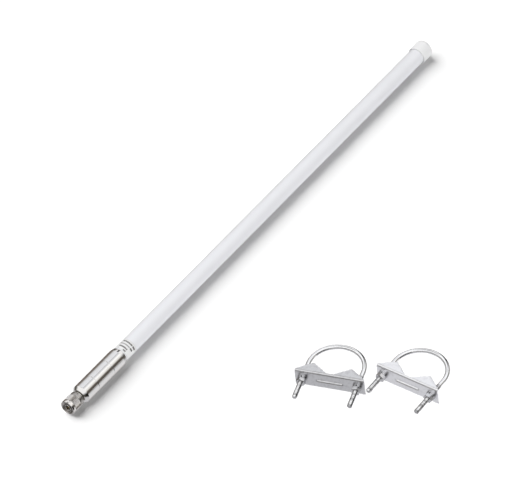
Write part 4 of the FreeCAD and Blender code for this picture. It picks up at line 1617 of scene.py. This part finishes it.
    def with_rib(self, plate: FloatArray, outside: bool) -> FloatArray:
        """Presses the rib into the plate.

        With d the distance from the rib's middle line, the front stands out by
        sqrt(R^2 - d^2) - setback, with a soft foot, and the back sinks by its depth times
        sqrt(1 - (d / r)^2).

        Args:
            plate: grid of the plate.
            outside: whether it is the front.

        Returns:
            The pressed grid.
        """
        length, radius, setback, middle = self.rib
        line = length / 2 - radius
        beyond = np.maximum(np.abs(plate[..., 0]) - line, 0.0)
        d = np.hypot(beyond, plate[..., 2] - middle)
        pressed = plate.copy()
        if outside:
            inside = np.sqrt(np.maximum(radius ** 2 - d ** 2, 0.0)) - setback
            height = np.where(d < radius, inside, -setback - (d - radius))
            raised = (height + np.sqrt(height ** 2 + self.rib_foot ** 2)) / 2
            pressed[..., 1] -= raised * (height > -self.sheet)
            pressed[..., 1] = np.maximum(pressed[..., 1], setback - radius)
        else:
            hollow = radius - self.sheet + setback / 2 + self.rib_foot
            pressed[..., 1] -= self.rib_hollow * np.sqrt(np.maximum(1.0 - (d / hollow) ** 2, 0.0))
        return pressed

    def around_holes(self, plate: FloatArray) -> FloatArray:
        """Draws the grid outward round each leg hole.

        A point at offset p from the hole's centre, c cells away from it, goes to
        (1 - t) r p / |p| + t p, where t runs from 0 at the edge's cell to 1 where the grid is
        even again.

        Args:
            plate: grid of the plate.

        Returns:
            The drawn grid.
        """
        step = self.spacing / self.cells
        edge, even = self.hole_cells
        moved = plate.copy()
        for leg in Leg:
            dx = plate[..., 0] - leg.value * self.spacing / 2
            dz = plate[..., 2]
            cells = np.maximum(np.abs(dx), np.abs(dz)) / step
            t = np.clip((cells - edge) / (even - edge), 0.0, 1.0)
            size = np.maximum(np.hypot(dx, dz), 1e-6)
            pull = (1 - t) * self.hole / 2 / size + t
            pull = np.where(cells < edge - 0.5, self.hole / 2 / size, pull)
            moved[..., 0] = np.where(t < 1, leg.value * self.spacing / 2 + dx * pull, moved[..., 0])
            moved[..., 2] = np.where(t < 1, dz * pull, moved[..., 2])
        return moved

    def on_leg(self, leg: Leg, points: FloatArray) -> FloatArray:
        """Takes points turned about X to a leg's axis, where x becomes the depth y."""
        centre = leg.value * self.spacing / 2
        return np.stack([centre + points[..., 1], points[..., 0], points[..., 2]], axis=-1)

    def flat_washers(self) -> Skin:
        """Makes both flat washers, turned about the legs, with rounded edges.

        Returns:
            The skin of both.
        """
        size, thick = self.washer
        bore = self.washer_bore / 2
        shape = eased([(-thick, bore), (-thick, size / 2), (0.0, size / 2), (0.0, bore)], 0.3, 4)
        skin = Skin()
        for leg in Leg:
            skin.grid(self.on_leg(leg, lathe(shape, around(72))), True, True)
        return skin

    def spring_washers(self) -> Skin:
        """Makes both split washers.

        A square section is carried from one side of the slit to the other, and both ends are
        closed by rows that shrink to the section's middle.

        Returns:
            The skin of both.
        """
        size, thick, slit = self.spring
        bore = self.washer_bore / 2
        front = -self.washer[1]
        shape = eased([(front - thick, bore), (front - thick, size / 2), (front, size / 2),
                       (front, bore)], 0.2, 3)
        gap = slit / (size / 2 + bore)
        angles = np.linspace(gap, TAU - gap, 61)
        ring = lathe(shape, angles)
        middle = ring.mean(axis=0, keepdims=True)
        ring = np.concatenate([ring, ring[:1]])
        ends = np.broadcast_to(middle, ring.shape)
        closed = np.concatenate([ends[:, :1], ring, ends[:, -1:]], axis=1)
        skin = Skin()
        for leg in Leg:
            skin.grid(self.on_leg(leg, closed))
        return skin

    def hex_nut(self, leg: Leg, turn: float) -> Skin:
        """Makes a nut as a closed profile carried round the leg.

        The radius is the smaller of the turned profile's and the hexagon's, which is
        half the flats / cos(angle from the middle of the flat).

        Args:
            leg: the leg that it is on.
            turn: how far the hexagon is turned, in degrees.

        Returns:
            The nut's skin.
        """
        seat = -(self.washer[1] + self.spring[1])
        corner = self.hex_flats / math.sqrt(3)
        face = corner - 2 * self.hex_chamfer
        bore, sink = self.hex_bore / 2, 0.35
        rise = np.linspace(0.0, 1.0, 9)
        chamfer = np.stack([rise * self.hex_chamfer, face + rise * (corner - face)], axis=-1)
        near = np.stack([seat - chamfer[:, 0], chamfer[:, 1]], axis=-1)
        far = np.stack([seat - self.hex_height + chamfer[:, 0], chamfer[:, 1]], axis=-1)[::-1]
        shape = np.vstack([[(seat - sink, bore), (seat, bore + sink)], near, far,
                           [(seat - self.hex_height, bore + sink),
                            (seat - self.hex_height + sink, bore)]])
        angles = around(132)
        from_flat = (angles - math.radians(turn)) % (TAU / 6) - TAU / 12
        hexagon = self.hex_flats / 2 / np.cos(from_flat)
        points = lathe(shape, angles)
        radius = np.minimum(shape[:, 1, None], hexagon[None, :])
        points[..., 1] = -radius * np.sin(angles)[None, :]
        points[..., 2] = radius * np.cos(angles)[None, :]
        return Skin().grid(self.on_leg(leg, points), True, True)


# ---------------------------------------------------------------------------------------------
# Studio
# ---------------------------------------------------------------------------------------------


@dataclass(frozen=True)
class Lamp:
    """One distant soft light.

    Attributes:
        name: its name.
        energy: its strength.
        source: the direction that it comes from.
        spread: its angular size in degrees.
    """

    name: str
    energy: float
    source: Colour
    spread: float


@dataclass
class Studio:
    """The floor, the lights, what the metal reflects, and the camera.

    Attributes:
        aim: the point that the camera looks at, in metres.
        ahead: the camera's direction over the ground.
        elevation: how steeply it looks down, in degrees.
        roll: how far it is tilted, in degrees.
        width: what it sees across at the aim point, in metres.
        lens: its focal length.
        sensor: its sensor's width.
        floor_size: half of the floor's side, in metres.
        floor_white: the floor's colour.
        ambient: level of the even light.
        floor_glow: light that the floor itself gives, which keeps its darkest place up.
        floor_key: the light that draws the antenna's shadow on the floor.
        piece_left: the light on the pieces from the +Y side.
        piece_right: the light on the pieces from the -Y side.
        room: radius of the sphere that reflections see, in metres.
        bands: what reflects round the X axis: degrees from +Z towards -Y, and a colour.
        levels: what reflects at each height elsewhere: height from -1 to 1, and a colour.
        screen: how dark the two screens are, and the line overhead.
    """

    aim: Colour = (0.3183, -0.0323, 0.0)
    ahead: tuple[float, float] = (0.751, 0.660)
    elevation: float = 45.0
    roll: float = 6.5
    width: float = 0.5942
    lens: float = 600.0
    sensor: float = 36.0
    floor_size: float = 9.0
    floor_white: Colour = (0.88, 0.88, 0.88)
    ambient: float = 0.05
    floor_glow: float = 0.17
    floor_key: Lamp = Lamp("floor_key", 4.15, (-0.14, 0.80, 1.0), 66.0)
    piece_left: Lamp = Lamp("piece_left", 2.6, (-0.15, 0.574, 0.819), 60.0)
    piece_right: Lamp = Lamp("piece_right", 2.1, (-0.15, -0.866, 0.5), 80.0)
    room: float = 30.0
    bands: tuple[tuple[float, Colour], ...] = (
        (-180.0, (0.62, 0.62, 0.62)), (-150.0, (0.30, 0.27, 0.24)), (-125.0, (0.22, 0.19, 0.17)),
        (-80.0, (0.22, 0.19, 0.17)), (-66.0, (0.50, 0.49, 0.48)), (-56.0, (0.80, 0.81, 0.83)),
        (-36.0, (0.95, 0.96, 0.99)), (-22.0, (0.94, 0.96, 1.00)), (-9.0, (0.96, 0.98, 1.03)),
        (-3.0, (0.88, 0.89, 0.92)), (2.0, (0.46, 0.46, 0.47)), (7.0, (0.86, 0.87, 0.89)),
        (15.0, (0.98, 0.98, 0.99)), (22.0, (1.16, 1.16, 1.17)), (28.0, (1.26, 1.26, 1.25)),
        (38.0, (1.06, 1.05, 1.02)), (50.0, (0.93, 0.91, 0.88)), (56.0, (0.56, 0.54, 0.50)),
        (62.0, (0.20, 0.18, 0.155)), (72.0, (0.115, 0.10, 0.09)), (86.0, (0.13, 0.115, 0.10)),
        (94.0, (0.34, 0.33, 0.31)), (101.0, (0.62, 0.62, 0.62)), (112.0, (0.81, 0.82, 0.83)),
        (130.0, (0.85, 0.85, 0.87)), (150.0, (0.86, 0.86, 0.87)), (168.0, (0.78, 0.78, 0.78)),
        (180.0, (0.62, 0.62, 0.62)))
    levels: tuple[tuple[float, Colour], ...] = (
        (-1.0, (0.66, 0.66, 0.68)), (-0.50, (0.66, 0.66, 0.68)), (-0.24, (0.17, 0.16, 0.14)),
        (0.14, (0.09, 0.085, 0.075)), (0.34, (0.60, 0.60, 0.60)), (0.50, (1.06, 1.06, 1.06)),
        (1.0, (1.12, 1.12, 1.12)))
    screen: tuple[float, float] = (0.92, 0.66)

    def build(self) -> None:
        """Makes the floor, the lights and the camera."""
        bpy.context.scene.view_settings.view_transform = "Standard"
        floor = self.floor()
        self.even_light()
        self.lamps(floor)
        self.surroundings()
        self.camera()

    def floor(self) -> bpy.types.Object:
        """Makes the pale floor under the pieces' lowest point.

        Returns:
            The floor.
        """
        low = min(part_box(node)[0].z for node in frame["nodes"])
        s = self.floor_size
        mesh = bpy.data.meshes.new("studio_floor")
        corners = [(-s, -s, low), (s, -s, low), (s, s, low), (-s, s, low)]
        mesh.from_pydata(corners, [], [(0, 1, 2, 3)])
        item = bpy.data.objects.new("studio_floor", mesh)
        bpy.context.scene.collection.objects.link(item)
        paint = Paint("pale_floor")
        wash = paint.noise(paint.place(), 2.0, 2.0)
        mesh.materials.append(paint.surface(
            base_color=paint.shade(self.floor_white, 1.0 - 0.02 * wash),
            roughness=0.9, specular_ior_level=0.0,
            emission_color=self.floor_white, emission_strength=self.floor_glow))
        item.visible_glossy = False
        return item

    def even_light(self) -> None:
        """Makes the world: an even white for light, seen as white by the camera."""
        world = bpy.data.worlds.new("studio_air")
        bpy.context.scene.world = world
        air = Tree(world)
        light = air.add("ShaderNodeBackground", {}, {"Color": WHITE, "Strength": self.ambient})
        seen = air.add("ShaderNodeBackground", {}, {"Color": WHITE})
        camera = air.add("ShaderNodeLightPath", {}, {}, "Is Camera Ray")
        air.end(Ending.WORLD, air.add("ShaderNodeMixShader", {}, {0: camera, 1: light, 2: seen}))
        world.cycles_visibility.glossy = False

    @staticmethod
    def hang(lamp: Lamp, lit: bpy.types.Collection,
             shaded_by: Optional[bpy.types.Collection] = None) -> None:
        """Hangs one light that lights one collection.

        Args:
            lamp: the light.
            lit: what it lights.
            shaded_by: what throws a shadow in it, or None for everything.
        """
        data = bpy.data.lights.new(lamp.name, "SUN")
        data.energy = lamp.energy
        data.angle = math.radians(lamp.spread)
        item = bpy.data.objects.new(lamp.name, data)
        item.rotation_euler = Vector(lamp.source).to_track_quat("Z", "Y").to_euler()
        item.visible_glossy = False
        item.light_linking.receiver_collection = lit
        if shaded_by is not None:
            item.light_linking.blocker_collection = shaded_by
        bpy.context.scene.collection.objects.link(item)

    @staticmethod
    def group(name: str, items: Iterable[bpy.types.Object]) -> bpy.types.Collection:
        """Gathers objects in a collection that only lights use.

        Args:
            name: the collection's name.
            items: the objects.

        Returns:
            The collection.
        """
        collection = bpy.data.collections.new(name)
        for item in items:
            collection.objects.link(item)
        return collection

    def lamps(self, floor: bpy.types.Object) -> None:
        """Hangs the lights, so that only the antenna throws a shadow on the floor.

        Args:
            floor: the floor.
        """
        clamp_words = tuple(side.value + "_" for side in Side)
        pieces = [item for item in bpy.context.scene.objects
                  if item.type == "MESH" and item is not floor]
        ground = self.group("lit_floor", [floor])
        things = self.group("lit_pieces", pieces)
        antenna = self.group("shadow_makers", [
            item for item in pieces if not item.name.startswith(clamp_words)])
        self.hang(self.floor_key, ground, antenna)
        self.hang(self.piece_left, things)
        self.hang(self.piece_right, things)

    @staticmethod
    def row_of(paint: Paint, factor: Wire, row: Sequence[tuple[float, Colour]],
               length: float) -> Wire:
        """Gives half the colour of a row whose places run from -length / 2 to length / 2."""
        return paint.ramp(factor, [(place / length + 0.5, tuple(0.5 * c for c in colour))
                                   for place, colour in row])

    def surroundings(self) -> None:
        """Makes the sphere that only reflections see.

        Where a direction's x is near that of the view, the sphere shows bands round the X axis,
        which draw long streaks on everything turned about it. Elsewhere its colour follows height,
        with a dark horizon, a dark screen at the far end and another beside the antenna, and a
        dark line overhead.
        """
        latitude = np.linspace(-math.pi / 2, math.pi / 2, 48)
        ring = np.cos(latitude)[:, None]
        longitude = around(96)
        points = np.stack([ring * np.cos(longitude), ring * np.sin(longitude),
                           np.sin(latitude)[:, None] + 0 * longitude], axis=-1)
        item = Skin().grid(points * self.room / MM, wrap_cols=True).mesh_object(
            "reflected_room", 180.0)
        paint = Paint("reflected_room")
        x, y, z = paint.axes(paint.place(scale=(self.room, self.room, self.room)))
        turn = (y * -1.0).angle_to(z) * (0.5 / math.pi) + 0.5
        bands = self.row_of(paint, turn, self.bands, 360.0)
        levels = self.row_of(paint, z * 0.5 + 0.5, self.levels, 2.0)
        far = (x.rise(0.59, 0.66) * (1.0 - z.rise(0.66, 0.80)) * y.rise(0.08, 0.18)
               * (1.0 - y.rise(0.34, 0.44)))
        near = (y * -1.0).rise(0.74, 0.86) * z.within(-0.45, 0.45, 0.12)
        line = x.within(-0.26, 0.26, 0.07) * z.rise(0.80, 0.88) * y.rise(0.02, 0.12)
        wall, overhead = self.screen
        dark = (far * wall).at_least(near * wall).at_least(line * overhead)
        rest = paint.shade(levels, 1.0 - dark)
        colour = paint.mix(x.within(0.42, 0.58, 0.06), rest, bands)
        glow = paint.add("ShaderNodeEmission", {}, {"Color": colour, "Strength": 2.0}, "Emission")
        paint.end(Ending.MATERIAL, glow)
        item.data.materials.append(paint.material)
        item.visible_camera = False
        item.visible_diffuse = False
        item.visible_shadow = False
        item.visible_transmission = False

    def camera(self) -> None:
        """Makes the camera, which looks along the ground direction and down at the aim point."""
        tilt = math.radians(self.elevation)
        flat = Vector((*self.ahead, 0.0)).normalized()
        look = flat * math.cos(tilt) - Vector((0.0, 0.0, 1.0)) * math.sin(tilt)
        data = bpy.data.cameras.new("studio_camera")
        data.lens = self.lens
        data.sensor_width = self.sensor
        distance = self.width * self.lens / self.sensor
        data.clip_end = 4 * distance
        item = bpy.data.objects.new("studio_camera", data)
        bpy.context.scene.collection.objects.link(item)
        turn = look.to_track_quat("-Z", "Y").to_matrix()
        turn = turn @ Matrix.Rotation(math.radians(-self.roll), 3, "Z")
        item.matrix_world = Matrix.Translation(Vector(self.aim) - look * distance) @ turn.to_4x4()
        bpy.context.scene.camera = item


def main() -> None:
    """Builds every piece, then the studio."""
    logging.basicConfig(level=logging.INFO, format="%(message)s", stream=sys.stdout)
    Radiator().build()
    BaseFerrule().build()
    CoaxPlug().build()
    # Both saddles are one zinc. The left one gets a darker copy of it, as painted shade.
    MastClamp(Side.LEFT, (12.0, 40.0), (0.72, 0.72, 0.735), (0.54, 0.54, 0.555)).build()
    MastClamp(Side.RIGHT, (-8.0, 25.0), (0.97, 0.97, 0.99), (0.82, 0.82, 0.85)).build()
    Studio().build()
    LOG.info("sizes written")


if __name__ == "__main__":
    main()
